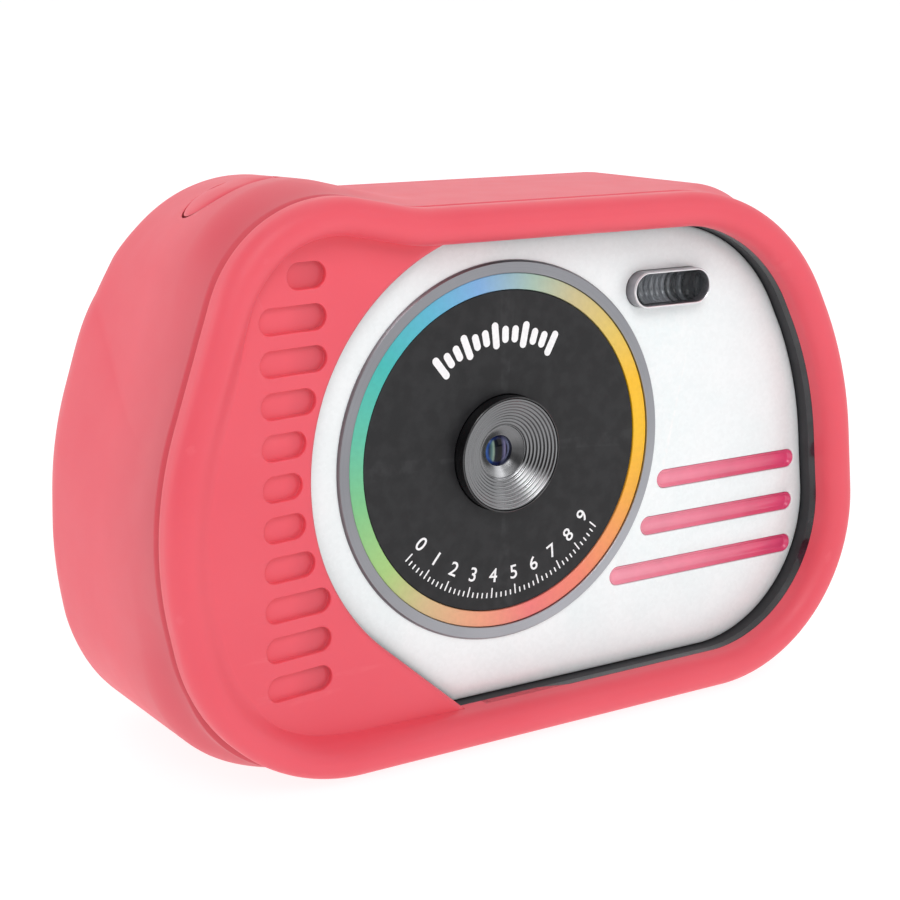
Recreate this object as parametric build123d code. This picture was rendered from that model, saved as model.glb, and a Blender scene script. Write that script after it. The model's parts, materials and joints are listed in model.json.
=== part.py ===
"""Kids' digital camera in a soft silicone sleeve, as separate pieces in one frame.

Millimetres. The lens looks along -Y, +X is to the right as seen from the front, +Z is up.
The origin is at the middle of the overall box, on the surface the camera stands on.
"""
from build123d import *
import os
from math import cos, radians, sin, sqrt

# ------------------------------------------------------------------ overall sizes
WIDTH = 102.4               # silicone sleeve, side to side
DEPTH = 41.0                # sleeve, front bead to back
BODY_TOP = 66.6             # flat top of the sleeve above the base
BEAD_LIFT = 0.6             # underside of the front bead above the base
FRONT = -DEPTH / 2
BACK = DEPTH / 2
HALF = WIDTH / 2

# ------------------------------------------------------------------ clearances
FIT = 0.05                  # pieces that seat in each other
SLIDE_FIT = 0.2             # keys in their holes
PIN_FIT = 0.05              # hinge pin in its door, radial

# ------------------------------------------------------------------ sleeve
SLEEVE_WALL = 2.2
BEAD_WIDTH = 4.3            # rounded bead round the front
BEAD_ROUND = 2.1
BACK_ROUND = 8.0
BEAD_HEIGHT = 6.0           # bead crest above the white plate
GRIP_HEIGHT = 2.6           # grip panel above the white plate
GROOVE_FROM_FRONT = 3.6     # crease behind the bead
GROOVE_WIDTH = 0.9
GROOVE_DEPTH = 0.5
REAR_FRAME = 9.0            # width of the sleeve's frame round the back panel
REAR_FRAME_ROUND = 1.2
GRIP_MARK = (9.0, 3.0)      # debossed grip marks, length and height
GRIP_MARK_PITCH = 4.7
GRIP_MARK_DEPTH = 0.6
GRIP_MARK_COUNT = 12
GRIP_MARK_FROM_SIDE = 16.7  # middle of the marks from the left side
GRIP_MARK_DROP = 1.7        # middle of the column below the lens axis
GRIP_MARK_MARGIN = 1.2      # marks end short of the grip panel's edge

# ------------------------------------------------------------------ rigid case
CASE_WALL = 2.0
PLATE_THICK = 1.2
RIM_HEIGHT = 1.3            # case rim above the white plate
TRIM_HEIGHT = 1.2           # black trim on that rim
SPLIT_Y = 6.0               # joint between the front and rear shells
PANEL_RISE = 1.2            # rear panel above the back wall
BOSS_RADIUS = 3.0
BOSS_INSET = 6.6            # screw bosses, from the sleeve's outline
SCREW_RADIUS = 1.1
SCREW_HEAD_RADIUS = 2.0
SCREW_HEAD_HEIGHT = 1.3
SCREW_LENGTH = 16.0

# ------------------------------------------------------------------ lens and its rings
LENS_X = -4.0
LENS_Z = 35.8
DISC_RADIUS = 20.0
RAINBOW_WIDTH = 2.0
SILVER_WIDTH = 1.6
SILVER_SKIRT = 0.7
RAINBOW_PROUD = 0.15
SILVER_PROUD = 0.4
BARREL_RADIUS = 7.2
BARREL_WALL = 0.5
BARREL_PROUD = 1.7
BARREL_FLANGE = 1.0
GLASS_RADIUS = 2.3
GLASS_OPENING = 1.9
GLASS_RECESS = 1.4          # glass behind the disc
STEP_INNER_RADIUS = 3.4
STEP_COUNT = 10
CELL_RADIUS = 3.5
CELL_LENGTH = 5.0
SENSOR_SIZE = 8.6
SENSOR_THICK = 1.6
WINDOW_MARGIN = 4.5         # white plate left of the silver ring, to the grip panel
WINDOW_ANGLE = 229.0        # where that edge turns straight

# ------------------------------------------------------------------ stripes and flash
STRIPE_Z = (-6.8, -12.8, -18.8)      # from the lens axis
STRIPE_HEIGHT = 2.5
STRIPE_MARGIN = 1.6                  # stripes' left ends, outside the silver ring
STRIPE_END_MARGIN = 7.0              # stripes' right ends, inside the sleeve's side
STRIPE_RECESS = 0.6
STRIPE_BACK = 0.9
FLASH_X = 26.0                       # from the lens axis
FLASH_Z = 18.1
FLASH_LENGTH = 12.1
FLASH_HEIGHT = 4.3
FLASH_FRAME = 1.0
FLASH_PROUD = 1.8
FLASH_WINDOW_THICK = 0.8
FLASH_CUP_WALL = 0.5
FLASH_CUP_DEPTH = 4.0

# ------------------------------------------------------------------ rear panel
LCD_X = 9.0
LCD_WINDOW = (46.0, 36.0)
LCD_VIEW = (41.5, 31.5)
LCD_PANEL = (47.0, 35.6)
LCD_THICK = 2.5
LCD_WINDOW_ROUND = 2.5
GASKET_THICK = 0.5
GASKET_WIDTH = 2.0
KEY_RING = 9.0              # arrow keys about the centre key
KEY_RADIUS = 3.0
OK_RADIUS = 3.8
SMALL_KEY_RADIUS = 2.5
SMALL_KEY_RISE = 12.6       # the two small keys above and below the centre key
SMALL_KEY_SHIFT = 7.0
KEY_PROUD = 0.8
KEY_TRAVEL = 0.6
KEY_FLANGE = 0.8
KEY_FLANGE_THICK = 0.9
KEY_CLEAR = 0.2             # nearest key flange to the screen module
SWITCH_SIZE = 4.4
SWITCH_HEIGHT = 1.0
SWITCH_PLUNGER_RADIUS = 1.0

# ------------------------------------------------------------------ shutter button
SHUTTER_FROM_SIDE = 17.8    # middle of the button from the left side, on the hump's crest
SHUTTER_Y = -0.8
SHUTTER_SIZE = (12.0, 9.0)
SHUTTER_PROUD = 0.9         # button above the hump
SHUTTER_TRAVEL = 1.0
SHUTTER_GAP = 0.35
SHUTTER_ROUND = 0.4
SHUTTER_SEAT_DROP = 2.6     # flat under the button, below the sleeve's flat top
SHUTTER_STEM_RADIUS = 2.3
SHUTTER_BOSS_DEPTH = 2.4
SHUTTER_SWITCH = (6.0, 3.4)
SHUTTER_BOARD = (11.0, 9.0, 1.0)
SHUTTER_CLIP_THICK = 0.8

# ------------------------------------------------------------------ port door and lanyard eye
PORT_Y = 10.5
PORT_Z = 25.5
DOOR_HEIGHT = 24.0
DOOR_WIDTH = 7.0
DOOR_THICK = 1.4
DOOR_FROM_SIDE = 4.1        # door's outer face inside the sleeve's side
DOOR_GAP = 0.25
DOOR_KNUCKLE = 0.9
DOOR_PIN_RADIUS = 0.5
DOOR_PIN_SEAT = 0.5         # pin held in the case at each end
DOOR_TAB = 0.6
EYE_Y = -4.6
EYE_Z = 25.5
EYE_WIDTH = 11.0
EYE_HEIGHT = 10.6
EYE_DEPTH = 7.6             # behind the sleeve's inner face
EYE_BAR_BEHIND = 2.1        # middle of the bar behind the sleeve's inner face
EYE_BAR_RADIUS = 1.2
EYE_BAR_SEAT = 1.2

# ------------------------------------------------------------------ electronics
BOARD_THICK = 1.2
BOARD_GAP = 0.8
BATTERY = (48.0, 5.5, 30.0)
BATTERY_X = -1.0
BATTERY_PAD_THICK = 0.8
SPEAKER = (20.0, 12.0, 4.5)
SPEAKER_X = -2.0
SPEAKER_Y = -4.0
SPEAKER_SLOT = (12.0, 1.2)
SPEAKER_SLOT_COUNT = 4
SPEAKER_SLOT_PITCH = 2.4
MIC_X = -19.5
MIC_RISE = 13.5
MIC_HOLE_RADIUS = 0.6
USB_SIZE = (7.4, 3.2, 9.0)
CARD_SOCKET = (14.0, 1.9, 12.2)
CARD_SIZE = (14.6, 0.8, 11.0)
PORT_SPACING = 11.8
POST_RADIUS = 2.2
BOARD_SCREW_RADIUS = 0.8
POST_X = (-4.0, 22.0)
POST_MARGIN = 9.3
WIRE_RADIUS = 0.6

# ------------------------------------------------------------------ places that follow
PLATE_Y = FRONT + BEAD_HEIGHT
PLATE_BACK = PLATE_Y + PLATE_THICK
RIM_Y = PLATE_Y - RIM_HEIGHT
TRIM_Y = RIM_Y - TRIM_HEIGHT
GRIP_Y = PLATE_Y - GRIP_HEIGHT
CASE_BACK = BACK - SLEEVE_WALL
PANEL_Y = CASE_BACK + PANEL_RISE
INNER_FRONT = PLATE_BACK + CASE_WALL
INNER_BACK = CASE_BACK - CASE_WALL
CASE_INSET = SLEEVE_WALL + FIT
INNER_INSET = CASE_INSET + CASE_WALL
REAR_CENTRE_Z = BODY_TOP / 2
BOARD_BACK = INNER_BACK - GASKET_THICK - LCD_THICK - 0.1
BOARD_FRONT = BOARD_BACK - BOARD_THICK
RAINBOW_RADIUS = DISC_RADIUS + RAINBOW_WIDTH
SILVER_RADIUS = RAINBOW_RADIUS + SILVER_WIDTH
WINDOW_RADIUS = SILVER_RADIUS + WINDOW_MARGIN
STRIPE_START_RADIUS = SILVER_RADIUS + STRIPE_MARGIN
BARREL_Y = PLATE_Y - BARREL_PROUD
STEP_BACK = PLATE_Y + GLASS_RECESS + 0.3
KEY_X = LCD_X - LCD_PANEL[0] / 2 - KEY_CLEAR - KEY_FLANGE - KEY_RADIUS - KEY_RING
SHUTTER_X = -HALF + SHUTTER_FROM_SIDE
SHUTTER_SEAT_Z = BODY_TOP - SHUTTER_SEAT_DROP
EYE_BAR_X = HALF - SLEEVE_WALL - EYE_BAR_BEHIND
EYE_BACK_X = HALF - SLEEVE_WALL - EYE_DEPTH
DOOR_X = HALF - DOOR_FROM_SIDE
DOOR_BOTTOM = PORT_Z - DOOR_HEIGHT / 2
DOOR_PIN_X = DOOR_X - DOOR_THICK / 2
DOOR_PIN_Z = DOOR_BOTTOM + DOOR_KNUCKLE
PORT_WALL_X = DOOR_X - DOOR_THICK - DOOR_GAP
USB_Z = PORT_Z - PORT_SPACING / 2
CARD_Z = PORT_Z + PORT_SPACING / 2
SHUTTER_BOSS_Z = SHUTTER_SEAT_Z - SHUTTER_BOSS_DEPTH
SHUTTER_CLIP_Z = SHUTTER_BOSS_Z - 0.3
SHUTTER_SWITCH_TOP = SHUTTER_CLIP_Z - SHUTTER_CLIP_THICK - SHUTTER_TRAVEL - 0.05
SHUTTER_BOARD_TOP = SHUTTER_SWITCH_TOP - SHUTTER_SWITCH[1]

BOSS_CORNERS = (0, 2, 3, 6)


# x, z and radius of the outline's corners, anticlockwise from the bottom right
BEAD_CORNERS = [
    (HALF + 2.0, BEAD_LIFT, 22.4),
    (HALF - 2.5, BODY_TOP - 24.0, 48.1),
    (HALF - 15.4, BODY_TOP, 26.0),
    (-HALF + 32.7, BODY_TOP, 18.8),
    (-HALF + 11.3, BODY_TOP + 4.3, 15.7),
    (-HALF - 1.5, BODY_TOP - 33.3, 43.2),
    (-HALF + 5.2, BEAD_LIFT, 23.0),
]
BODY_CORNERS = [
    (HALF + 2.4, 0, 22.9),
    (HALF - 1.8, BODY_TOP - 24.3, 48.0),
    (HALF - 14.0, BODY_TOP, 14.0),
    (-HALF + 36.7, BODY_TOP, 18.7),
    (-HALF + 10.7, BODY_TOP + 6.1, 14.8),
    (-HALF - 0.7, BODY_TOP - 34.1, 43.3),
    (-HALF + 2.8, 0, 17.9),
]


def corner_between(start, end, share, radius):
    """A corner on the line through two others, so that the side between them stays in place."""
    return start[0] + (end[0] - start[0]) * share, start[1] + (end[1] - start[1]) * share, radius


# behind the shoulder the hump's outer corner is rounder
BACK_CORNERS = list(BODY_CORNERS)
BACK_CORNERS[4] = corner_between(BODY_CORNERS[3], BODY_CORNERS[4], 0.737, 20.0)
BACK_CORNERS[5] = corner_between(BODY_CORNERS[6], BODY_CORNERS[5], 1.27, 50.0)


# ------------------------------------------------------------------ drawing helpers
def inset_corners(corners, distance):
    """Every side of an anticlockwise outline moved inwards, with its arcs kept parallel."""
    moved = []
    for index, (x, z, radius) in enumerate(corners):
        corner = Vector(x, z)
        before = corner - Vector(*corners[index - 1][:2])
        after = Vector(*corners[(index + 1) % len(corners)][:2]) - corner
        normal_in = Vector(-before.Y, before.X).normalized()
        normal_out = Vector(-after.Y, after.X).normalized()
        shift = (normal_in + normal_out) * (distance / (1 + normal_in.dot(normal_out)))
        convex = before.X * after.Y - before.Y * after.X > 0
        moved.append((x + shift.X, z + shift.Y, radius - distance if convex else radius + distance))
    return moved


def corner_arc(corners, index):
    """Start, middle and end of the arc that rounds one corner."""
    x, z, radius = corners[index]
    corner = Vector(x, z)
    back = (Vector(*corners[index - 1][:2]) - corner).normalized()
    ahead = (Vector(*corners[(index + 1) % len(corners)][:2]) - corner).normalized()
    half_angle = radians(back.get_angle(ahead)) / 2
    centre = corner + (back + ahead).normalized() * (radius / sin(half_angle))
    reach = radius * cos(half_angle) / sin(half_angle)
    middle = centre + (corner - centre).normalized() * radius
    return corner + back * reach, middle, corner + ahead * reach


def outline(inset=0.0, corners_from=BODY_CORNERS):
    """The sleeve's outline as a flat face, moved inwards."""
    corners = inset_corners(corners_from, inset)
    arcs = [corner_arc(corners, index) for index in range(len(corners))]
    edges = []
    for index, (start, middle, end) in enumerate(arcs):
        edges.append(ThreePointArc(start, middle, end))
        edges.append(Line(end, arcs[(index + 1) % len(arcs)][0]))
    return make_face(edges)


def slab(flat, front, back):
    """A flat shape drawn in x and z, thickened from one y to another."""
    return extrude(Plane.XZ.offset(-back) * flat, back - front)


def pill(x, z, length, height):
    return Pos(x, z) * SlotOverall(length, height)


def round_bar(x, z, radius, front, back):
    return slab(Pos(x, z) * Circle(radius), front, back)


def ring(x, z, outer, inner, front, back):
    return slab(Pos(x, z) * (Circle(outer) - Circle(inner)), front, back)


def block(low, high):
    """A box between two opposite corners."""
    size = [b - a for a, b in zip(low, high)]
    middle = [(a + b) / 2 for a, b in zip(low, high)]
    return Pos(*middle) * Box(*size)


def lens_turning(profile):
    """A solid turned about the lens axis; profile points are (radius, y)."""
    points = [(LENS_X + radius, y) for radius, y in profile]
    face = Plane.XY.offset(LENS_Z) * make_face(Polyline(*points, close=True))
    return revolve(face, Axis((LENS_X, 0, LENS_Z), (0, 1, 0)))


def window_area(margin=0.0):
    """Everything to the right of the grip panel's edge, as a flat face."""
    reach = WIDTH
    radius = WINDOW_RADIUS + margin
    angle = radians(WINDOW_ANGLE)
    turn_x = LENS_X + radius * cos(angle)
    turn_z = LENS_Z + radius * sin(angle)
    corners = [
        (LENS_X, LENS_Z),
        (turn_x, turn_z),
        (turn_x - reach * sin(angle), turn_z + reach * cos(angle)),
        (reach, -reach),
        (reach, 2 * reach),
        (LENS_X, 2 * reach),
    ]
    return Pos(LENS_X, LENS_Z) * Circle(radius) + make_face(Polyline(*corners, close=True))


def window_opening(margin=0.0):
    """The front window of the sleeve: inside the bead and right of the grip panel."""
    return outline(BEAD_WIDTH + margin, BEAD_CORNERS) & window_area(-margin)


def case_block(inset, front, back):
    """The body moved inwards: its rounded back, and from the shoulder forwards its taller hump."""
    shoulder = SPLIT_Y + CASE_INSET - inset
    solid = slab(outline(inset, BACK_CORNERS), front, back)
    solid = fillet(solid.faces().sort_by(Axis.Y)[-1].edges(), BACK_ROUND - inset)
    if shoulder > front:
        solid += slab(outline(inset), front, shoulder)
    return solid


def shutter_pill(margin, low, high):
    """An upright solid with the shutter button's outline."""
    length, width = SHUTTER_SIZE
    flat = SlotOverall(length + 2 * margin, width + 2 * margin)
    return Pos(SHUTTER_X, SHUTTER_Y, low) * extrude(flat, high - low)


def boss_places():
    """Centres of the case screws, beside the chosen corners of the outline."""
    corners = inset_corners(BODY_CORNERS, BOSS_INSET)
    return [corner_arc(corners, index)[1] for index in BOSS_CORNERS]


def key_places():
    """Name, x, z and radius of every key on the back."""
    places = [("key_ok", KEY_X, REAR_CENTRE_Z, OK_RADIUS)]
    for name, turn in (("key_right", 180), ("key_up", 90), ("key_left", 0), ("key_down", 270)):
        x = KEY_X + KEY_RING * cos(radians(turn))
        z = REAR_CENTRE_Z + KEY_RING * sin(radians(turn))
        places.append((name, x, z, KEY_RADIUS))
    small_x = KEY_X - SMALL_KEY_SHIFT
    places.append(("key_power", small_x, REAR_CENTRE_Z + SMALL_KEY_RISE, SMALL_KEY_RADIUS))
    places.append(("key_play", small_x, REAR_CENTRE_Z - SMALL_KEY_RISE, SMALL_KEY_RADIUS))
    return places


def post_places():
    """Centres of the posts that hold the main board."""
    return [(x, z) for x in POST_X for z in (POST_MARGIN, BODY_TOP - POST_MARGIN)]


def stripe_flats(grow):
    """The three stripes as flat pills, each starting at one radius from the lens."""
    flats = Sketch()
    end = HALF - STRIPE_END_MARGIN
    for drop in STRIPE_Z:
        start = LENS_X + sqrt(STRIPE_START_RADIUS ** 2 - drop ** 2)
        flats += pill((start + end) / 2, LENS_Z + drop, end - start + 2 * grow, STRIPE_HEIGHT + 2 * grow)
    return flats


def flash_flat(margin):
    return pill(LENS_X + FLASH_X, LENS_Z + FLASH_Z, FLASH_LENGTH + 2 * margin, FLASH_HEIGHT + 2 * margin)


def eye_recess(margin):
    """The lanyard recess in the right side."""
    low = (EYE_BACK_X - margin, EYE_Y - EYE_WIDTH / 2 - margin, EYE_Z - EYE_HEIGHT / 2 - margin)
    high = (HALF + 5, EYE_Y + EYE_WIDTH / 2 + margin, EYE_Z + EYE_HEIGHT / 2 + margin)
    return block(low, high)


def door_recess(inner_x, margin):
    low = (inner_x, PORT_Y - DOOR_WIDTH / 2 - margin, DOOR_BOTTOM - margin)
    high = (HALF + 5, PORT_Y + DOOR_WIDTH / 2 + margin, DOOR_BOTTOM + DOOR_HEIGHT + margin)
    return block(low, high)


def speaker_slots():
    """Grille slots through the bottom of the case and the sleeve."""
    slots = Part()
    for index in range(SPEAKER_SLOT_COUNT):
        y = SPEAKER_Y + (index - (SPEAKER_SLOT_COUNT - 1) / 2) * SPEAKER_SLOT_PITCH
        slots += Pos(SPEAKER_X, y, -1) * extrude(SlotOverall(*SPEAKER_SLOT), INNER_INSET + 2)
    return slots


# ------------------------------------------------------------------ soft sleeve
def silicone_sleeve():
    seam = FRONT + GROOVE_FROM_FRONT + GROOVE_WIDTH / 2
    body = case_block(0, seam, BACK)
    bead = slab(outline(0, BEAD_CORNERS), FRONT, seam)
    bead = fillet(bead.faces().sort_by(Axis.Y)[0].edges(), BEAD_ROUND)
    solid = body + bead
    solid -= slab(outline(BEAD_WIDTH, BEAD_CORNERS), FRONT - 1, GRIP_Y)
    inner_bead = solid.faces().sort_by(Axis.Y)[0].inner_wires()[0].edges()
    solid = fillet(inner_bead, BEAD_ROUND)
    solid -= slab(window_opening(), FRONT, RIM_Y)
    solid -= case_block(SLEEVE_WALL, RIM_Y, CASE_BACK)
    solid -= slab(trim_flat(0.0), TRIM_Y, RIM_Y)
    solid -= slab(outline(REAR_FRAME, BACK_CORNERS), CASE_BACK - 1, BACK + 1)
    rear_edge = solid.faces().sort_by(Axis.Y)[-1].inner_wires()[0].edges()
    solid = fillet(rear_edge, REAR_FRAME_ROUND)
    solid -= slab(outline(-1) - outline(GROOVE_DEPTH, BEAD_CORNERS),
                  seam - GROOVE_WIDTH / 2, seam + GROOVE_WIDTH / 2)
    solid -= slab(grip_marks(), GRIP_Y - 1, GRIP_Y + GRIP_MARK_DEPTH)
    solid -= shutter_pill(0, SHUTTER_SEAT_Z - 2, SHUTTER_SEAT_Z + 10)
    solid -= door_recess(PORT_WALL_X, DOOR_GAP + 0.5)
    solid -= eye_recess(0)
    return solid - speaker_slots()


def grip_marks():
    """Column of shallow pills pressed into the grip panel."""
    x = -HALF + GRIP_MARK_FROM_SIDE
    middle = LENS_Z - GRIP_MARK_DROP
    flats = Sketch()
    for index in range(GRIP_MARK_COUNT):
        flats += pill(x, middle + (index - (GRIP_MARK_COUNT - 1) / 2) * GRIP_MARK_PITCH, *GRIP_MARK)
    return flats - window_area(GRIP_MARK_MARGIN)


def trim_flat(gap):
    """The black trim: a strip under the bead, beside the window only."""
    strip = outline(CASE_INSET + gap) - outline(BEAD_WIDTH, BEAD_CORNERS)
    return strip & window_area(-2.0 - gap)


def trim_frame():
    return slab(trim_flat(FIT), TRIM_Y + FIT, RIM_Y)


# ------------------------------------------------------------------ rigid case
def front_shell():
    solid = case_block(CASE_INSET, RIM_Y, CASE_BACK - FIT)
    solid &= slab(Rectangle(3 * WIDTH, 3 * WIDTH), RIM_Y, SPLIT_Y)
    solid -= case_block(INNER_INSET, INNER_FRONT, INNER_BACK)
    solid -= slab(window_opening(), RIM_Y, PLATE_BACK)
    grip_hollow = outline(INNER_INSET) - window_area(CASE_WALL)
    solid -= slab(grip_hollow, RIM_Y + CASE_WALL, INNER_FRONT)
    inside = slab(outline(INNER_INSET - 0.5), RIM_Y + CASE_WALL, SPLIT_Y)
    for place in boss_places():
        solid += round_bar(place.X, place.Y, BOSS_RADIUS, INNER_FRONT - 0.5, SPLIT_Y) & inside
    for place in boss_places():
        solid -= round_bar(place.X, place.Y, SCREW_RADIUS, SPLIT_Y - SCREW_LENGTH / 2, SPLIT_Y)
    solid += eye_recess(CASE_WALL) & inside
    solid -= eye_recess(0)
    solid -= lanyard_bar()
    shutter_boss = shutter_pill(1.0, SHUTTER_BOSS_Z, SHUTTER_SEAT_Z + 2)
    solid += shutter_boss & case_block(CASE_INSET, RIM_Y, CASE_BACK)
    solid -= shutter_pill(0, SHUTTER_SEAT_Z, SHUTTER_SEAT_Z + 10)
    solid -= Pos(SHUTTER_X, SHUTTER_Y, SHUTTER_SEAT_Z) * Cylinder(SHUTTER_STEM_RADIUS + SLIDE_FIT, 20)
    solid -= Pos(SHUTTER_X, SHUTTER_Y, SHUTTER_BOSS_Z - 3) * extrude(Circle(SHUTTER_STEM_RADIUS + 1.4), 3)
    length, width, thick = SHUTTER_BOARD
    shelf_top = SHUTTER_BOARD_TOP - thick
    solid += block((SHUTTER_X - length / 2, RIM_Y + CASE_WALL - 0.5, shelf_top - CASE_WALL),
                   (SHUTTER_X + length / 2, SHUTTER_Y + width / 2, shelf_top))
    solid -= stripe_pocket()
    solid -= slab(flash_flat(FLASH_FRAME + FIT), RIM_Y, INNER_FRONT + 1)
    solid -= round_bar(LENS_X, LENS_Z, BARREL_RADIUS + FIT, PLATE_BACK - 1, INNER_FRONT + 1)
    return solid - speaker_slots()


def stripe_pocket():
    left = LENS_X + STRIPE_START_RADIUS * 0.55
    right = HALF - STRIPE_END_MARGIN + 1.5
    top = LENS_Z + STRIPE_Z[0] + STRIPE_HEIGHT
    bottom = LENS_Z + STRIPE_Z[-1] - STRIPE_HEIGHT
    flat = Pos((left + right) / 2, (top + bottom) / 2) * RectangleRounded(right - left, top - bottom, 2)
    return slab(flat, PLATE_BACK, PLATE_BACK + STRIPE_BACK)


def rear_shell():
    solid = case_block(CASE_INSET, SPLIT_Y, CASE_BACK - FIT)
    hollow = case_block(INNER_INSET, SPLIT_Y, INNER_BACK)
    solid -= hollow
    for place in boss_places():
        solid += round_bar(place.X, place.Y, BOSS_RADIUS, SPLIT_Y, INNER_BACK) & hollow
    for x, z in post_places():
        solid += round_bar(x, z, POST_RADIUS, BOARD_BACK, INNER_BACK)
        solid -= round_bar(x, z, BOARD_SCREW_RADIUS, BOARD_BACK, INNER_BACK + 0.5)
    solid += slab(outline(REAR_FRAME + FIT, BACK_CORNERS), CASE_BACK - FIT, PANEL_Y)
    solid += door_recess(PORT_WALL_X - CASE_WALL, CASE_WALL / 2) & hollow
    solid -= door_recess(PORT_WALL_X, DOOR_GAP)
    for z, size in ((USB_Z, USB_SIZE), (CARD_Z, CARD_SOCKET)):
        middle = BOARD_FRONT - size[1] / 2
        solid -= block((PORT_WALL_X - 5, middle - size[1] / 2 - 0.2, z - size[2] / 2 - 0.2),
                       (PORT_WALL_X + 1, middle + size[1] / 2 + 0.2, z + size[2] / 2 + 0.2))
    pin_reach = DOOR_WIDTH / 2 + DOOR_GAP + DOOR_PIN_SEAT
    solid -= Pos(DOOR_PIN_X, PORT_Y, DOOR_PIN_Z) * Rot(90, 0, 0) * Cylinder(DOOR_PIN_RADIUS, 2 * pin_reach)
    for place in boss_places():
        solid -= round_bar(place.X, place.Y, SCREW_RADIUS + 0.15, SPLIT_Y, BACK)
        solid -= round_bar(place.X, place.Y, SCREW_HEAD_RADIUS + 0.2, CASE_BACK - 2 * SCREW_HEAD_HEIGHT, BACK)
    for _, x, z, radius in key_places():
        solid -= round_bar(x, z, radius + SLIDE_FIT, INNER_BACK - 1, PANEL_Y + 1)
    window = Pos(LCD_X, REAR_CENTRE_Z) * RectangleRounded(*LCD_WINDOW, LCD_WINDOW_ROUND)
    solid -= slab(window, CASE_BACK, PANEL_Y + 1)
    solid -= slab(Pos(LCD_X, REAR_CENTRE_Z) * Rectangle(*LCD_VIEW), INNER_BACK - 1, PANEL_Y)
    return solid - round_bar(MIC_X, REAR_CENTRE_Z + MIC_RISE, MIC_HOLE_RADIUS, INNER_BACK - 1, PANEL_Y + 1)


def shell_screws():
    screws = []
    for place in boss_places():
        seat = CASE_BACK - 2 * SCREW_HEAD_HEIGHT
        shank = round_bar(place.X, place.Y, SCREW_RADIUS, seat - SCREW_LENGTH, seat)
        head = round_bar(place.X, place.Y, SCREW_HEAD_RADIUS, seat, seat + SCREW_HEAD_HEIGHT)
        screws.append(shank + head)
    return Compound(children=screws)


# ------------------------------------------------------------------ front plate, stripes, flash
def front_plate():
    solid = slab(window_opening(2 * FIT), PLATE_Y, PLATE_BACK)
    solid -= round_bar(LENS_X, LENS_Z, RAINBOW_RADIUS + SILVER_SKIRT + FIT, PLATE_Y - 1, PLATE_BACK + 1)
    solid -= slab(stripe_flats(0), PLATE_Y - 1, PLATE_BACK + 1)
    return solid - slab(flash_flat(FLASH_FRAME + FIT), PLATE_Y - 1, PLATE_BACK + 1)


def stripe_insert():
    return stripe_pocket() + slab(stripe_flats(-FIT), PLATE_Y + STRIPE_RECESS, PLATE_BACK + 0.1)


def flash_bezel():
    return slab(flash_flat(FLASH_FRAME) - flash_flat(0), PLATE_Y - FLASH_PROUD, INNER_FRONT)


def flash_window():
    front = PLATE_Y - FLASH_PROUD + 0.3
    return slab(flash_flat(-FIT), front, front + FLASH_WINDOW_THICK)


def flash_reflector():
    front = PLATE_Y - FLASH_PROUD + 0.3 + FLASH_WINDOW_THICK
    cup = slab(flash_flat(-FIT), front, front + FLASH_CUP_DEPTH)
    return cup - slab(flash_flat(-FIT - FLASH_CUP_WALL), front, front + FLASH_CUP_DEPTH - FLASH_CUP_WALL)


def flash_led():
    x = LENS_X + FLASH_X
    z = LENS_Z + FLASH_Z
    floor = PLATE_Y - FLASH_PROUD + 0.3 + FLASH_WINDOW_THICK + FLASH_CUP_DEPTH - FLASH_CUP_WALL
    return block((x - 1.6, floor - 0.8, z - 1.3), (x + 1.6, floor, z + 1.3))


def flash_board():
    front = PLATE_Y - FLASH_PROUD + 0.3 + FLASH_WINDOW_THICK + FLASH_CUP_DEPTH
    x = LENS_X + FLASH_X
    z = LENS_Z + FLASH_Z
    return block((x - 9, front, z - 3.5), (x + 4.5, front + 1, z + 3.5))


# ------------------------------------------------------------------ lens
def lens_disc():
    return ring(LENS_X, LENS_Z, DISC_RADIUS, BARREL_RADIUS + FIT, PLATE_Y, PLATE_BACK)


def rainbow_ring():
    return ring(LENS_X, LENS_Z, RAINBOW_RADIUS, DISC_RADIUS + FIT, PLATE_Y - RAINBOW_PROUD, PLATE_BACK)


def silver_ring():
    inner = RAINBOW_RADIUS + FIT
    flange = ring(LENS_X, LENS_Z, SILVER_RADIUS, inner, PLATE_Y - SILVER_PROUD, PLATE_Y)
    outer_edge = flange.faces().sort_by(Axis.Y)[0].edges().sort_by(SortBy.LENGTH)[-1]
    flange = chamfer(outer_edge, SILVER_PROUD * 0.6)
    return flange + ring(LENS_X, LENS_Z, RAINBOW_RADIUS + SILVER_SKIRT, inner, PLATE_Y, PLATE_BACK)


def lens_barrel():
    bore = BARREL_RADIUS - BARREL_WALL
    back = INNER_FRONT + BARREL_FLANGE
    return lens_turning([
        (bore, BARREL_Y),
        (BARREL_RADIUS - 0.2, BARREL_Y),
        (BARREL_RADIUS, BARREL_Y + 0.2),
        (BARREL_RADIUS, INNER_FRONT),
        (BARREL_RADIUS + 1.5, INNER_FRONT),
        (BARREL_RADIUS + 1.5, back),
        (CELL_RADIUS + FIT, back),
        (CELL_RADIUS + FIT, STEP_BACK),
        (bore, STEP_BACK),
    ])


def lens_step_ring():
    """Shallow stepped cone from the barrel's rim down to the glass."""
    outer = BARREL_RADIUS - BARREL_WALL - FIT
    front = BARREL_Y + 0.3
    step_radial = (outer - STEP_INNER_RADIUS) / STEP_COUNT
    cone_end = front + (STEP_BACK - front) * 0.62
    step_axial = (cone_end - front) / STEP_COUNT
    profile = [(outer, STEP_BACK), (outer, front)]
    for step in range(STEP_COUNT):
        radius = outer - step_radial * (step + 1)
        profile.append((radius, front + step_axial * step))
        profile.append((radius, front + step_axial * (step + 1)))
    profile.append((GLASS_OPENING, STEP_BACK - 0.4))
    profile.append((GLASS_OPENING, STEP_BACK))
    return lens_turning(profile)


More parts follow.
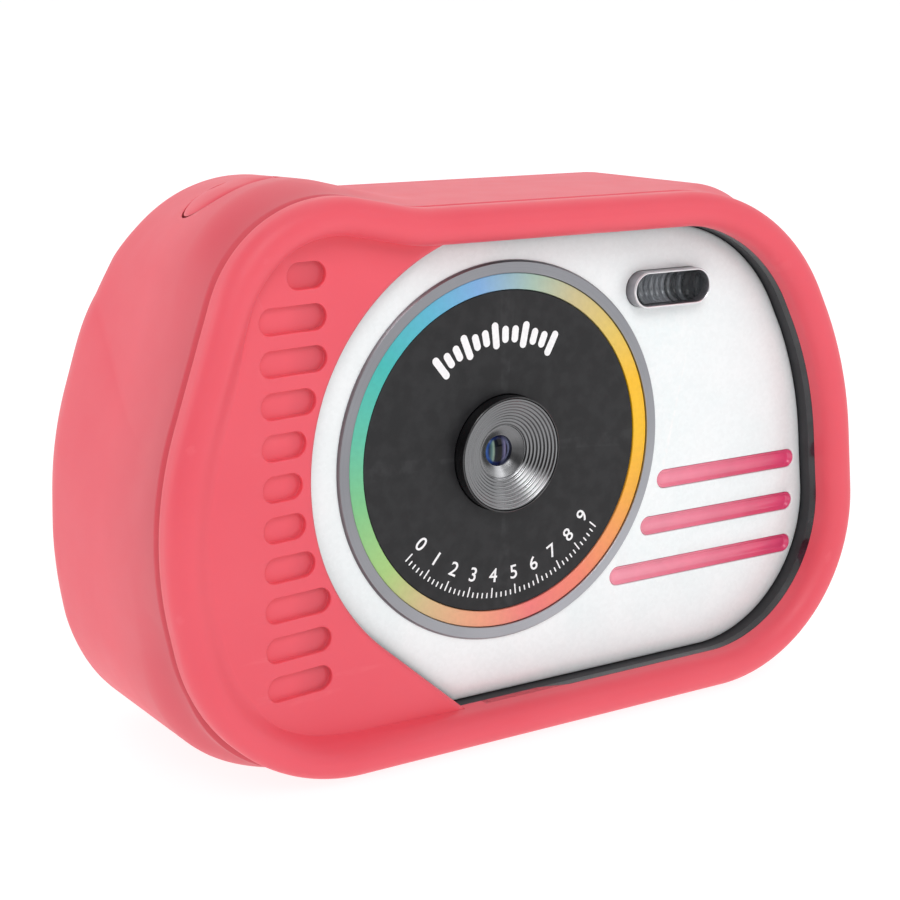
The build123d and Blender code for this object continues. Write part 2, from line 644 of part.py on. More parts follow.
def lens_glass():
    back = STEP_BACK + 1.0
    apex = STEP_BACK - 0.3
    centre = (LENS_X, apex)
    rim = (LENS_X + GLASS_OPENING - FIT, STEP_BACK)
    edges = [
        TangentArc(centre, rim, tangent=(1, 0)),
        Polyline(rim, (LENS_X + GLASS_RADIUS, STEP_BACK), (LENS_X + GLASS_RADIUS, back),
                 (LENS_X, back), centre),
    ]
    face = Plane.XY.offset(LENS_Z) * make_face(edges)
    return revolve(face, Axis((LENS_X, 0, LENS_Z), (0, 1, 0)))


def lens_cell():
    bore = GLASS_RADIUS + FIT
    return ring(LENS_X, LENS_Z, CELL_RADIUS, bore, STEP_BACK, STEP_BACK + CELL_LENGTH)


def lens_elements():
    """Two more lenses and the infrared filter, stacked behind the front glass."""
    stack = []
    y = STEP_BACK + 1.0
    for gap, thick in ((0.4, 0.9), (0.5, 0.8), (0.3, 0.3)):
        y += gap
        stack.append(round_bar(LENS_X, LENS_Z, GLASS_RADIUS, y, y + thick))
        y += thick
    return Compound(children=stack)


def sensor_module():
    half = SENSOR_SIZE / 2
    front = STEP_BACK + CELL_LENGTH
    base = block((LENS_X - half, front, LENS_Z - half), (LENS_X + half, front + SENSOR_THICK, LENS_Z + half))
    return base


def sensor_flex():
    """Flat cable from the sensor, down and back to the main board."""
    top = STEP_BACK + CELL_LENGTH + SENSOR_THICK
    low = REAR_CENTRE_Z - BATTERY[2] / 2 - 1.5
    run = block((LENS_X - 3, top, low), (LENS_X + 3, top + 0.2, LENS_Z + SENSOR_SIZE / 2))
    return run + block((LENS_X - 3, top, low - 0.2), (LENS_X + 3, BOARD_FRONT, low))


# ------------------------------------------------------------------ shutter button
def shutter_button():
    low = SHUTTER_SEAT_Z + SHUTTER_TRAVEL + 0.2
    cap = shutter_pill(-SHUTTER_GAP, low, low + 10)
    cap &= slab(outline(-SHUTTER_PROUD), FRONT, BACK)
    top_edges = cap.edges().filter_by(lambda edge: edge.center().Z > low + 0.5 and abs((edge % 0.5).Z) < 0.95)
    return fillet(top_edges, SHUTTER_ROUND)


def shutter_plunger():
    high = SHUTTER_SEAT_Z + SHUTTER_TRAVEL + 0.2
    clip = SHUTTER_CLIP_Z - SHUTTER_CLIP_THICK
    here = Pos(SHUTTER_X, SHUTTER_Y, clip)
    stem = here * extrude(Circle(SHUTTER_STEM_RADIUS), high - clip)
    return stem + here * extrude(Circle(SHUTTER_STEM_RADIUS + 0.9), SHUTTER_CLIP_THICK)


def shutter_switch():
    size, height = SHUTTER_SWITCH
    base = block((SHUTTER_X - size / 2, SHUTTER_Y - size / 2, SHUTTER_BOARD_TOP),
                 (SHUTTER_X + size / 2, SHUTTER_Y + size / 2, SHUTTER_SWITCH_TOP - 0.8))
    return base + Pos(SHUTTER_X, SHUTTER_Y, SHUTTER_BOARD_TOP) * extrude(Circle(1.7), height)


def shutter_board():
    length, width, thick = SHUTTER_BOARD
    return block((SHUTTER_X - length / 2, SHUTTER_Y - width / 2, SHUTTER_BOARD_TOP - thick),
                 (SHUTTER_X + length / 2, SHUTTER_Y + width / 2, SHUTTER_BOARD_TOP))


# ------------------------------------------------------------------ screen
def lcd_window():
    flat = Pos(LCD_X, REAR_CENTRE_Z) * RectangleRounded(
        LCD_WINDOW[0] - 2 * FIT, LCD_WINDOW[1] - 2 * FIT, LCD_WINDOW_ROUND)
    return slab(flat, CASE_BACK, PANEL_Y)


def lcd_gasket():
    outer = Rectangle(LCD_VIEW[0] + 2 * GASKET_WIDTH, LCD_VIEW[1] + 2 * GASKET_WIDTH)
    flat = Pos(LCD_X, REAR_CENTRE_Z) * (outer - Rectangle(*LCD_VIEW))
    return slab(flat, INNER_BACK - GASKET_THICK, INNER_BACK)


def lcd_panel():
    flat = Pos(LCD_X, REAR_CENTRE_Z) * Rectangle(*LCD_PANEL)
    back = INNER_BACK - GASKET_THICK
    return slab(flat, back - LCD_THICK, back)


# ------------------------------------------------------------------ keys
def key(x, z, radius):
    """A round key: crowned cap through the panel, with a flange behind the wall."""
    cap = round_bar(x, z, radius, INNER_BACK - 0.1, PANEL_Y + KEY_PROUD)
    cap = fillet(cap.faces().sort_by(Axis.Y)[-1].edges(), 0.6)
    return cap + round_bar(x, z, radius + KEY_FLANGE, INNER_BACK - 0.1 - KEY_FLANGE_THICK, INNER_BACK - 0.1)


def key_switches():
    """One tact switch on the main board under each key."""
    switches = []
    half = SWITCH_SIZE / 2
    key_floor = INNER_BACK - 0.1 - KEY_FLANGE_THICK
    for _, x, z, _ in key_places():
        base = block((x - half, BOARD_BACK, z - half), (x + half, BOARD_BACK + SWITCH_HEIGHT, z + half))
        switches.append(base + round_bar(x, z, SWITCH_PLUNGER_RADIUS, BOARD_BACK,
                                         key_floor - KEY_TRAVEL - 0.05))
    return Compound(children=switches)


# ------------------------------------------------------------------ main board and what it carries
def main_board():
    flat = outline(INNER_INSET + BOARD_GAP, BACK_CORNERS)
    for place in boss_places():
        flat -= Pos(place.X, place.Y) * Circle(BOSS_RADIUS + BOARD_GAP / 2)
    solid = slab(flat, BOARD_FRONT, BOARD_BACK)
    reach = PORT_WALL_X - CASE_WALL - 0.3
    solid -= block((reach, BOARD_FRONT - 1, DOOR_BOTTOM - 3),
                   (HALF, BOARD_BACK + 1, DOOR_BOTTOM + DOOR_HEIGHT + 3))
    for x, z in post_places():
        solid -= round_bar(x, z, BOARD_SCREW_RADIUS + 0.1, BOARD_FRONT, BOARD_BACK)
    return solid


def board_screws():
    screws = []
    for x, z in post_places():
        shank = round_bar(x, z, BOARD_SCREW_RADIUS, BOARD_FRONT, INNER_BACK)
        screws.append(shank + round_bar(x, z, 1.6, BOARD_FRONT - 1.0, BOARD_FRONT))
    return Compound(children=screws)


def battery():
    length, thick, height = BATTERY
    back = BOARD_FRONT - BATTERY_PAD_THICK
    solid = block((BATTERY_X - length / 2, back - thick, REAR_CENTRE_Z - height / 2),
                  (BATTERY_X + length / 2, back, REAR_CENTRE_Z + height / 2))
    return fillet(solid.edges().filter_by(Axis.Z), 1.5)


def battery_pad():
    half_length = BATTERY[0] / 2 - 4
    half_height = BATTERY[2] / 2 - 4
    front = BOARD_FRONT - BATTERY_PAD_THICK
    return block((BATTERY_X - half_length, front, REAR_CENTRE_Z - half_height),
                 (BATTERY_X + half_length, BOARD_FRONT, REAR_CENTRE_Z + half_height))


def battery_leads():
    """Two short wires from the battery's end, round to the main board."""
    leads = []
    end = BATTERY_X + BATTERY[0] / 2
    start_y = BOARD_FRONT - BATTERY_PAD_THICK - BATTERY[1] / 2
    for side in (-1, 1):
        z = REAR_CENTRE_Z + 8 + 1.5 * side
        path = FilletPolyline((end, start_y, z), (end + 5, start_y, z), (end + 5, BOARD_FRONT, z), radius=2)
        leads.append(sweep(Plane(origin=path @ 0, z_dir=path % 0) * Circle(WIRE_RADIUS), path=path))
    return Compound(children=leads)


def speaker():
    length, width, height = SPEAKER
    low = INNER_INSET
    solid = block((SPEAKER_X - length / 2, SPEAKER_Y - width / 2, low),
                  (SPEAKER_X + length / 2, SPEAKER_Y + width / 2, low + height))
    return fillet(solid.edges().filter_by(Axis.Z), 2)


def microphone():
    z = REAR_CENTRE_Z + MIC_RISE
    return round_bar(MIC_X, z, 2.0, BOARD_BACK, BOARD_BACK + 1.6)


def usb_socket():
    length, thick, height = USB_SIZE
    mouth = PORT_WALL_X - 0.2
    shell = block((mouth - length, BOARD_FRONT - thick, USB_Z - height / 2),
                  (mouth, BOARD_FRONT, USB_Z + height / 2))
    shell = fillet(shell.edges().filter_by(Axis.X), 1.2)
    wall = 0.35
    hollow = block((mouth - length + 1.5, BOARD_FRONT - thick + wall, USB_Z - height / 2 + wall),
                   (mouth + 1, BOARD_FRONT - wall, USB_Z + height / 2 - wall))
    shell -= fillet(hollow.edges().filter_by(Axis.X), 0.9)
    middle = BOARD_FRONT - thick / 2
    return shell + block((mouth - length + 1, middle - 0.35, USB_Z - 3.3),
                         (mouth - 0.8, middle + 0.35, USB_Z + 3.3))


def card_socket():
    length, thick, height = CARD_SOCKET
    mouth = PORT_WALL_X - 0.2
    shell = block((mouth - length, BOARD_FRONT - thick, CARD_Z - height / 2),
                  (mouth, BOARD_FRONT, CARD_Z + height / 2))
    slot_half = CARD_SIZE[2] / 2 + FIT
    slot_front = BOARD_FRONT - thick + 0.5
    return shell - block((mouth - length + 0.6, slot_front, CARD_Z - slot_half),
                         (mouth + 1, slot_front + 0.1 + CARD_SIZE[1], CARD_Z + slot_half))


def memory_card():
    length, thick, height = CARD_SIZE
    mouth = PORT_WALL_X - 0.2
    front = BOARD_FRONT - CARD_SOCKET[1] + 0.55
    inner = mouth - CARD_SOCKET[0] + 0.7
    return block((inner, front, CARD_Z - height / 2),
                 (inner + length - 1.3, front + thick, CARD_Z + height / 2))


# ------------------------------------------------------------------ port door and lanyard bar
def port_door():
    low_y = PORT_Y - DOOR_WIDTH / 2
    high_y = PORT_Y + DOOR_WIDTH / 2
    leaf = block((DOOR_X - DOOR_THICK, low_y, DOOR_PIN_Z), (DOOR_X, high_y, DOOR_BOTTOM + DOOR_HEIGHT))
    leaf += Pos(DOOR_PIN_X, PORT_Y, DOOR_PIN_Z) * Rot(90, 0, 0) * Cylinder(DOOR_KNUCKLE, DOOR_WIDTH)
    tab_top = DOOR_BOTTOM + DOOR_HEIGHT - 1
    leaf += block((DOOR_X - 0.2, PORT_Y - 2, tab_top - 1.2), (DOOR_X + DOOR_TAB, PORT_Y + 2, tab_top))
    bore = Cylinder(DOOR_PIN_RADIUS + PIN_FIT, DOOR_WIDTH + 1)
    return leaf - Pos(DOOR_PIN_X, PORT_Y, DOOR_PIN_Z) * Rot(90, 0, 0) * bore


def door_pin():
    reach = DOOR_WIDTH / 2 + DOOR_GAP + DOOR_PIN_SEAT
    return Pos(DOOR_PIN_X, PORT_Y, DOOR_PIN_Z) * Rot(90, 0, 0) * Cylinder(DOOR_PIN_RADIUS, 2 * reach)


def lanyard_bar():
    bar = Cylinder(EYE_BAR_RADIUS, EYE_HEIGHT + 2 * EYE_BAR_SEAT)
    return Pos(EYE_BAR_X, EYE_Y, EYE_Z) * bar


NODES = [
    silicone_sleeve, trim_frame, front_shell, rear_shell, shell_screws, front_plate, stripe_insert,
    flash_bezel, flash_window, flash_reflector, flash_led, flash_board, lens_disc, rainbow_ring,
    silver_ring, lens_barrel, lens_step_ring, lens_glass, lens_cell, lens_elements, sensor_module,
    sensor_flex, shutter_button, shutter_plunger, shutter_switch, shutter_board, lcd_window,
    lcd_gasket, lcd_panel, key_switches, main_board, board_screws, battery, battery_pad,
    battery_leads, speaker, microphone, usb_socket, card_socket, memory_card, port_door, door_pin,
    lanyard_bar,
]

os.makedirs("parts", exist_ok=True)
for make in NODES:
    export_step(make(), f"parts/{make.__name__}.step")
for name, x, z, radius in key_places():
    export_step(key(x, z, radius), f"parts/{name}.step")
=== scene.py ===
"""Finished looks of the kids' digital camera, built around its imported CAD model.

Shapes are worked out in millimetres in the row frame (lens along -Y, +X to the right as seen
from the front, +Z up) and become metres when a piece is made.
"""

import json
from math import acos, atan2, cos, pi, radians, sin, sqrt

import bmesh
import bpy
import numpy as np
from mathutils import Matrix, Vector


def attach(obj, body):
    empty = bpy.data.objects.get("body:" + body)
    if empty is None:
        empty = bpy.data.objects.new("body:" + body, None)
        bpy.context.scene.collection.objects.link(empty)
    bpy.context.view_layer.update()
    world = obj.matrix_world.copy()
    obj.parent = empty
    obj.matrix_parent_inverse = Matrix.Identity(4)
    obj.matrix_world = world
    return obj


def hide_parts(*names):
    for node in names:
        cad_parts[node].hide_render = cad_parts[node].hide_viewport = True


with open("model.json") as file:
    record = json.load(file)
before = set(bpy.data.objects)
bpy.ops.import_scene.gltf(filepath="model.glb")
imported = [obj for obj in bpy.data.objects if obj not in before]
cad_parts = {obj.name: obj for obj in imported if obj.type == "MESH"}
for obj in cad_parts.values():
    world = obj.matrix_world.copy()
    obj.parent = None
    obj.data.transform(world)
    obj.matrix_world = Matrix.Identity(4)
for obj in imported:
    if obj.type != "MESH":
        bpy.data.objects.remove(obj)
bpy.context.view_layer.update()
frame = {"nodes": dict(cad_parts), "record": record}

MM = 0.001

# ------------------------------------------------------------------ sizes shared with the CAD, mm
HALF = 51.2                 # sleeve, half its width
BODY_TOP = 66.6
BEAD_LIFT = 0.6
FRONT = -20.5
BACK = 20.5
WALL = 2.2                  # sleeve wall
BEAD_WIDTH = 4.3
BEAD_ROUND = 2.1
BACK_ROUND = 8.0
GROOVE_Y = -16.45           # middle of the crease behind the bead
BODY_START = -8.5           # the bead's outline has turned into the body's here
CASE_START = -15.9          # the rigid case begins just behind this depth
SHOULDER = (-14.0, 22.0)    # between these depths the hump's outer corner grows rounder
PANEL_Y = -17.1             # grip panel's face
TRIM_Y = -17.0
RIM_Y = -15.8
PLATE_Y = -14.5
PLATE_BACK = -13.3
CASE_BACK = 18.3
REAR_PANEL_Y = 19.5
REAR_CENTRE_Z = BODY_TOP / 2
REAR_FRAME = 9.0
LENS = (-4.0, 35.8)
GRIP_EDGE_RADIUS = 28.1
GRIP_EDGE_TURN = 229.0      # degrees, where the grip panel's edge turns straight
STRIPE_DROPS = (-6.8, -12.8, -18.8)
STRIPE_START_RADIUS = 25.2
STRIPE_END = 44.2
STRIPE_HEIGHT = 2.5
FLASH = (20.65, 54.3)
FLASH_SIZE = (11.9, 4.1)
FLASH_RIM = 0.25
FLASH_RISE = 1.8            # how far the rim stands out of the plate
SHUTTER = (-33.4, -0.8)
SHUTTER_SIZE = (12.0, 9.0)
DOOR = (10.5, 25.5, 7.0, 24.0)       # middle y, middle z, width, height
EYE = (-4.6, 25.5, 11.0, 10.6)
SCREEN_X = 9.0
KEY_Y = 20.3
PANEL_RISE = 2.3            # the grip panel climbs this much towards the bead at the left
RISE_START = -30.0
RISE_WIDTH = 15.0


# ------------------------------------------------------------------ flat outlines
def unit(vector):
    return vector / np.hypot(*vector)


# x, z and radius of the outline's corners, anticlockwise from the bottom right
BEAD_CORNERS = [
    (HALF + 2.0, BEAD_LIFT, 22.4),
    (HALF - 2.5, BODY_TOP - 24.0, 48.1),
    (HALF - 15.4, BODY_TOP, 26.0),
    (-HALF + 32.7, BODY_TOP, 18.8),
    (-HALF + 11.3, BODY_TOP + 4.3, 15.7),
    (-HALF - 1.5, BODY_TOP - 33.3, 43.2),
    (-HALF + 5.2, BEAD_LIFT, 23.0),
]
BODY_CORNERS = [
    (HALF + 2.4, 0, 22.9),
    (HALF - 1.8, BODY_TOP - 24.3, 48.0),
    (HALF - 14.0, BODY_TOP, 14.0),
    (-HALF + 36.7, BODY_TOP, 18.7),
    (-HALF + 10.7, BODY_TOP + 6.1, 14.8),
    (-HALF - 0.7, BODY_TOP - 34.1, 43.3),
    (-HALF + 2.8, 0, 17.9),
]


def corner_between(start, end, share, radius):
    """A corner on the line through two others, so that the side between them stays in place."""
    return start[0] + (end[0] - start[0]) * share, start[1] + (end[1] - start[1]) * share, radius


# towards the back the hump's outer corner is rounder
BACK_CORNERS = list(BODY_CORNERS)
BACK_CORNERS[4] = corner_between(BODY_CORNERS[3], BODY_CORNERS[4], 0.737, 20.0)
BACK_CORNERS[5] = corner_between(BODY_CORNERS[6], BODY_CORNERS[5], 1.27, 50.0)


def sleeve_stations(corners, steps=(58, 46, 72, 32, 60, 62, 66), line_steps=14):
    """Points and inward normals round an outline, anticlockwise; every outline has as many."""
    places = [np.array(corner[:2]) for corner in corners]
    arcs = []
    for index, corner in enumerate(places):
        radius = corners[index][2]
        back = unit(places[index - 1] - corner)
        ahead = unit(places[(index + 1) % len(places)] - corner)
        half = acos(np.dot(back, ahead)) / 2
        centre = corner + unit(back + ahead) * radius / sin(half)
        reach = radius / np.tan(half)
        convex = back[1] * ahead[0] - back[0] * ahead[1] > 0
        arcs.append((centre, radius, corner + back * reach, corner + ahead * reach, convex))
    points = []
    normals = []
    for index, (centre, radius, start, end, convex) in enumerate(arcs):
        first = atan2(*(start - centre)[::-1])
        turn = (atan2(*(end - centre)[::-1]) - first + pi) % (2 * pi) - pi
        for share in np.linspace(0, 1, steps[index], endpoint=False):
            out = np.array([cos(first + turn * share), sin(first + turn * share)])
            points.append(centre + out * radius)
            normals.append(-out if convex else out)
        after = arcs[(index + 1) % len(arcs)][2]
        along = unit(after - end)
        for share in np.linspace(0, 1, line_steps, endpoint=False):
            points.append(end + (after - end) * share)
            normals.append(np.array([-along[1], along[0]]))
    return np.array(points), np.array(normals)


BEAD_POINTS, BEAD_NORMALS = sleeve_stations(BEAD_CORNERS)
BODY_POINTS, BODY_NORMALS = sleeve_stations(BODY_CORNERS)
BACK_POINTS, BACK_NORMALS = sleeve_stations(BACK_CORNERS)
STATIONS = len(BEAD_POINTS)
FULLNESS = np.zeros(STATIONS)          # the flanks beside the left side, fuller than in the CAD, mm
for station, fullness in ((340, 0.75), (406, 0.55)):
    near = np.clip(np.hypot(*(BACK_POINTS - BACK_POINTS[station]).T) / 11.0, 0, 1)
    FULLNESS += fullness * np.cos(near * pi / 2) ** 2
LEFT_LIMIT = -51.23         # the CAD sleeve's left side
OUTWARD = -((BODY_POINTS - BEAD_POINTS) * BEAD_NORMALS).sum(axis=1)
COVER = np.clip(1 - 1.9 / np.maximum(OUTWARD, 0.1), 0, 1)     # share of the body that hides the case


def smooth_step(value, low, high):
    share = np.clip((value - low) / (high - low), 0, 1)
    return share * share * (3 - 2 * share)


def sleeve_ring(inset, y):
    """The sleeve's outline at one depth, moved inwards; inset and y may differ by station."""
    y = np.broadcast_to(np.asarray(y, float), STATIONS)
    to_body = np.maximum(smooth_step(y, GROOVE_Y, BODY_START), COVER * smooth_step(y, GROOVE_Y, CASE_START))
    points, normals = [
        bead + (body - bead) * to_body[:, None] + (back - body) * smooth_step(y, *SHOULDER)[:, None]
        for bead, body, back in ((BEAD_POINTS, BODY_POINTS, BACK_POINTS),
                                 (BEAD_NORMALS, BODY_NORMALS, BACK_NORMALS))]
    inset = np.broadcast_to(np.asarray(inset, float), STATIONS)
    inset = inset - FULLNESS * smooth_step(y, *SHOULDER) * np.clip(1 - inset / 6, 0, 1)
    flat = points + normals * inset[:, None]
    flat[:, 0] = np.maximum(flat[:, 0], LEFT_LIMIT)
    return np.column_stack([flat[:, 0], y, flat[:, 1]])


def resample(line, count):
    """The same line with evenly spaced points."""
    lengths = np.concatenate([[0], np.cumsum(np.hypot(*np.diff(line, axis=0).T))])
    wanted = np.linspace(0, lengths[-1], count)
    return np.column_stack([np.interp(wanted, lengths, line[:, axis]) for axis in (0, 1)])


def grip_line(margin):
    """The grip panel's right edge, from above the sleeve to below it."""
    radius = GRIP_EDGE_RADIUS + margin
    angles = np.radians(np.arange(90, GRIP_EDGE_TURN, 0.25))
    arc = np.array(LENS) + radius * np.column_stack([np.cos(angles), np.sin(angles)])
    turn = radians(GRIP_EDGE_TURN)
    along = np.array([-sin(turn), cos(turn)])
    last = np.array(LENS) + radius * np.array([cos(turn), sin(turn)])
    return np.vstack([arc, last + along * np.arange(0, 40, 0.12)[:, None]])


def nearest_station(point):
    return int(np.argmin(np.hypot(*(BEAD_POINTS - point).T)))


def junctions(inset, margin):
    """Where the grip panel's edge meets the bead: the edge between them, and two stations."""
    line = grip_line(margin)
    depth = []
    for point in line:
        station = nearest_station(point)
        depth.append(np.dot(point - BEAD_POINTS[station], BEAD_NORMALS[station]) - inset)
    inside = np.flatnonzero(np.array(depth) > 0)
    ends = []
    for outer, inner in ((inside[0] - 1, inside[0]), (inside[-1] + 1, inside[-1])):
        share = depth[outer] / (depth[outer] - depth[inner])
        ends.append(line[outer] * (1 - share) + line[inner] * share)
    edge = np.vstack([ends[0], line[inside], ends[1]])
    return edge, nearest_station(ends[0]), nearest_station(ends[1])


def window_outline(margin):
    """The front window, moved inwards by margin: along the bead, then back along the grip panel."""
    edge, top, bottom = junctions(BEAD_WIDTH + margin, -margin)
    order = np.arange(bottom, top + STATIONS) % STATIONS if bottom > top else np.arange(bottom, top)
    bead = (BEAD_POINTS + BEAD_NORMALS * (BEAD_WIDTH + margin))[order[3:-3]]
    bead = resample(np.vstack([edge[-1], bead, edge[0]]), 260)
    return np.vstack([bead[:-1], resample(edge, 130)[:-1]])


def circle(centre, radius, count=128):
    angles = np.arange(count) * 2 * pi / count
    return np.array(centre) + radius * np.column_stack([np.cos(angles), np.sin(angles)])


def pill(centre, length, height, count=56):
    """A stadium, anticlockwise."""
    radius = height / 2
    angles = np.linspace(-pi / 2, pi / 2, count // 2)
    end = np.column_stack([np.cos(angles), np.sin(angles)]) * radius
    right = end + (length / 2 - radius, 0)
    return np.array(centre) + np.vstack([right, -right])


def rounded_box(centre, width, height, radius, count=56):
    angles = np.linspace(0, pi / 2, count // 4)
    corner = np.column_stack([np.cos(angles), np.sin(angles)]) * radius
    loops = []
    for turn in range(4):
        flip_x, flip_z = ((1, 1), (-1, 1), (-1, -1), (1, -1))[turn]
        part = (corner + (width / 2 - radius, height / 2 - radius)) * (flip_x, flip_z)
        loops.append(part if flip_x * flip_z > 0 else part[::-1])
    return np.array(centre) + np.vstack(loops)


def upright(flat, y):
    """A flat outline in x and z, at one depth."""
    return np.column_stack([flat[:, 0], np.full(len(flat), float(y)), flat[:, 1]])


def rounding(radius):
    """(in, down) steps round a convex edge, from the side to the top."""
    angles = np.radians(np.linspace(0, 90, 6))
    return [(radius * (1 - cos(a)), radius * sin(a) - radius) for a in angles]


# ------------------------------------------------------------------ meshes
class Build:
    """A mesh put together from rings of points, in millimetres."""

    def __init__(self):
        self.bm = bmesh.new()

    def skin(self, loops, closed=False):
        """Joins each ring of points to the next, and returns the rings."""
        rings = [[self.bm.verts.new(point) for point in loop] for loop in loops]
        pairs = list(zip(rings, rings[1:])) + ([(rings[-1], rings[0])] if closed else [])
        for near, far in pairs:
            for index in range(len(near)):
                after = (index + 1) % len(near)
                self.bm.faces.new((near[index], near[after], far[after], far[index]))
        return rings

    def cap(self, ring):
        """Fills a flat ring: with one face, or with triangles if it has many points."""
        if len(ring) < 200:
            self.bm.faces.new(ring)
            return
        edges = [self.bm.edges.get(pair) for pair in zip(ring, ring[1:] + ring[:1])]
        bmesh.ops.triangle_fill(self.bm, edges=edges, use_beauty=True)

    def solid(self, loops):
        """A closed form from stacked outlines, with flat ends."""
        rings = self.skin(loops)
        self.cap(rings[0])
        self.cap(rings[-1])

    def mesh(self, name, merge=0.0005):
        bmesh.ops.remove_doubles(self.bm, verts=self.bm.verts, dist=merge)
        bmesh.ops.dissolve_degenerate(self.bm, edges=self.bm.edges, dist=merge)
        bmesh.ops.recalc_face_normals(self.bm, faces=self.bm.faces)
        bmesh.ops.scale(self.bm, vec=(MM, MM, MM), verts=self.bm.verts)
        mesh = bpy.data.meshes.new(name)
        self.bm.to_mesh(mesh)
        self.bm.free()
        return mesh


def add_object(name, data):
    made = bpy.data.objects.new(name, data)
    bpy.context.scene.collection.objects.link(made)
    return made


def place(name, mesh, look, body="camera", replaces=(), sharp=28):
    """Makes a piece from a mesh, smooth but for its sharp edges, and ties it to the frame."""
    mesh.polygons.foreach_set("use_smooth", [True] * len(mesh.polygons))
    mesh.set_sharp_from_angle(angle=radians(sharp))
    mesh.materials.clear()
    mesh.materials.append(look)
    piece = add_object(name, mesh)
    weights = piece.modifiers.new("normals", "WEIGHTED_NORMAL")
    weights.keep_sharp = True
    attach(piece, body)
    if replaces:
        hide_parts(*replaces)
    return piece


def cut(mesh, cutter):
    """The first mesh less the second."""
    pair = [add_object(part.name, part) for part in (mesh, cutter)]
    tool = pair[0].modifiers.new("cut", "BOOLEAN")
    tool.operation = "DIFFERENCE"
    tool.solver = "MANIFOLD"
    tool.object = pair[1]
    graph = bpy.context.evaluated_depsgraph_get()
    result = bpy.data.meshes.new_from_object(pair[0].evaluated_get(graph))
    for thing in pair:
        bpy.data.objects.remove(thing)
    return result


def turned(build, profile, count=160):
    """A closed form turned about the lens axis; profile points are (radius, y)."""
    build.skin([upright(circle(LENS, radius, count), y) for radius, y in profile], closed=True)


# ------------------------------------------------------------------ materials
def rgb(code):
    """A display colour such as ee6575 as the linear values that shaders use."""
    parts = [int(code[index:index + 2], 16) / 255 for index in (0, 2, 4)]
    return [p / 12.92 if p <= 0.04045 else ((p + 0.055) / 1.055) ** 2.4 for p in parts] + [1]


class Look:
    """A material and short ways to add nodes to it. Coordinates are the row frame's, in metres."""

    def __init__(self, name, **sockets):
        self.material = bpy.data.materials.new(name)
        self.material.use_nodes = True
        self.tree = self.material.node_tree
        self.shader = self.tree.nodes["Principled BSDF"]
        self.spot = self.add("TexCoord").outputs["Object"]
        for socket, value in sockets.items():
            self.shader.inputs[socket.replace("_", " ")].default_value = value

    def add(self, kind, inputs=(), **settings):
        made = self.tree.nodes.new("ShaderNode" + kind)
        for key, value in settings.items():
            setattr(made, key, value)
        for key, value in dict(inputs).items():
            self.feed(made.inputs[key], value)
        return made

    def feed(self, socket, value):
        if isinstance(value, bpy.types.NodeSocket):
            self.tree.links.new(value, socket)
        else:
            socket.default_value = value

    def set(self, socket, value):
        self.feed(self.shader.inputs[socket], value)

    def maths(self, operation, *values):
        return self.add("Math", dict(enumerate(values)), operation=operation).outputs[0]

    def noise(self, scale, detail=3.0, spot=None):
        spot = spot or self.spot
        return self.add("TexNoise", {"Vector": spot, "Scale": scale, "Detail": detail}).outputs["Fac"]

    def ramp(self, factor, stops):
        """Colours or grey values along a factor."""
        made = self.add("ValToRGB", {"Fac": factor})
        elements = made.color_ramp.elements
        for index, (spot, value) in enumerate(stops):
            element = elements[index] if index < 2 else elements.new(spot)
            element.position = spot
            element.color = rgb(value) if isinstance(value, str) else (value, value, value, 1)
        return made.outputs["Color"]

    def mix(self, factor, first, second, blend="MIX"):
        made = self.add("Mix", {0: factor, 6: first, 7: second}, data_type="RGBA", blend_type=blend)
        return made.outputs[2]

    def multiply(self, first, second, share=1.0):
        return self.mix(share, first, second, "MULTIPLY")

    def painted(self):
        """The colour that the shader has now."""
        return self.shader.inputs["Base Color"].links[0].from_socket

    def along(self, axis):
        """The place along x (0), y (1) or z (2)."""
        return self.add("SeparateXYZ", {0: self.spot}).outputs[axis]

    def share_from(self, axis, start, length):
        """0 at start and 1 a length further on, both in mm."""
        away = self.maths("SUBTRACT", self.along(axis), start * MM)
        return self.maths("DIVIDE", away, length * MM)

    def polar(self):
        """Radius and angle about the lens axis, in metres and turns."""
        across = self.maths("SUBTRACT", self.along(0), LENS[0] * MM)
        up = self.maths("SUBTRACT", self.along(2), LENS[1] * MM)
        radius = self.maths("SQRT", self.maths("ADD", self.maths("MULTIPLY", across, across),
                                               self.maths("MULTIPLY", up, up)))
        angle = self.maths("DIVIDE", self.maths("ARCTAN2", up, across), 2 * pi)
        return radius, self.maths("FRACT", self.maths("ADD", angle, 1.0))

    def grain(self, scale, depth, height=None):
        """Fine relief; depth in mm."""
        height = height or self.noise(scale, 4.0)
        bump = self.add("Bump", {"Height": height, "Strength": 1.0, "Distance": depth * MM})
        self.set("Normal", bump.outputs[0])

    def uneven(self, scale, spread, least):
        """Roughness that drifts between least and least + spread."""
        self.set("Roughness", self.maths("MULTIPLY_ADD", self.noise(scale), spread, least))

    def clouded(self, colour, cloud, rough, grain):
        """A colour under faint clouds (scale, darkest), with uneven roughness and grain."""
        scale, darkest = cloud
        clouds = self.ramp(self.noise(scale), [(0.3, darkest), (0.7, 1.0)])
        self.set("Base Color", self.multiply(colour, clouds))
        self.uneven(*rough)
        self.grain(*grain)
        return self


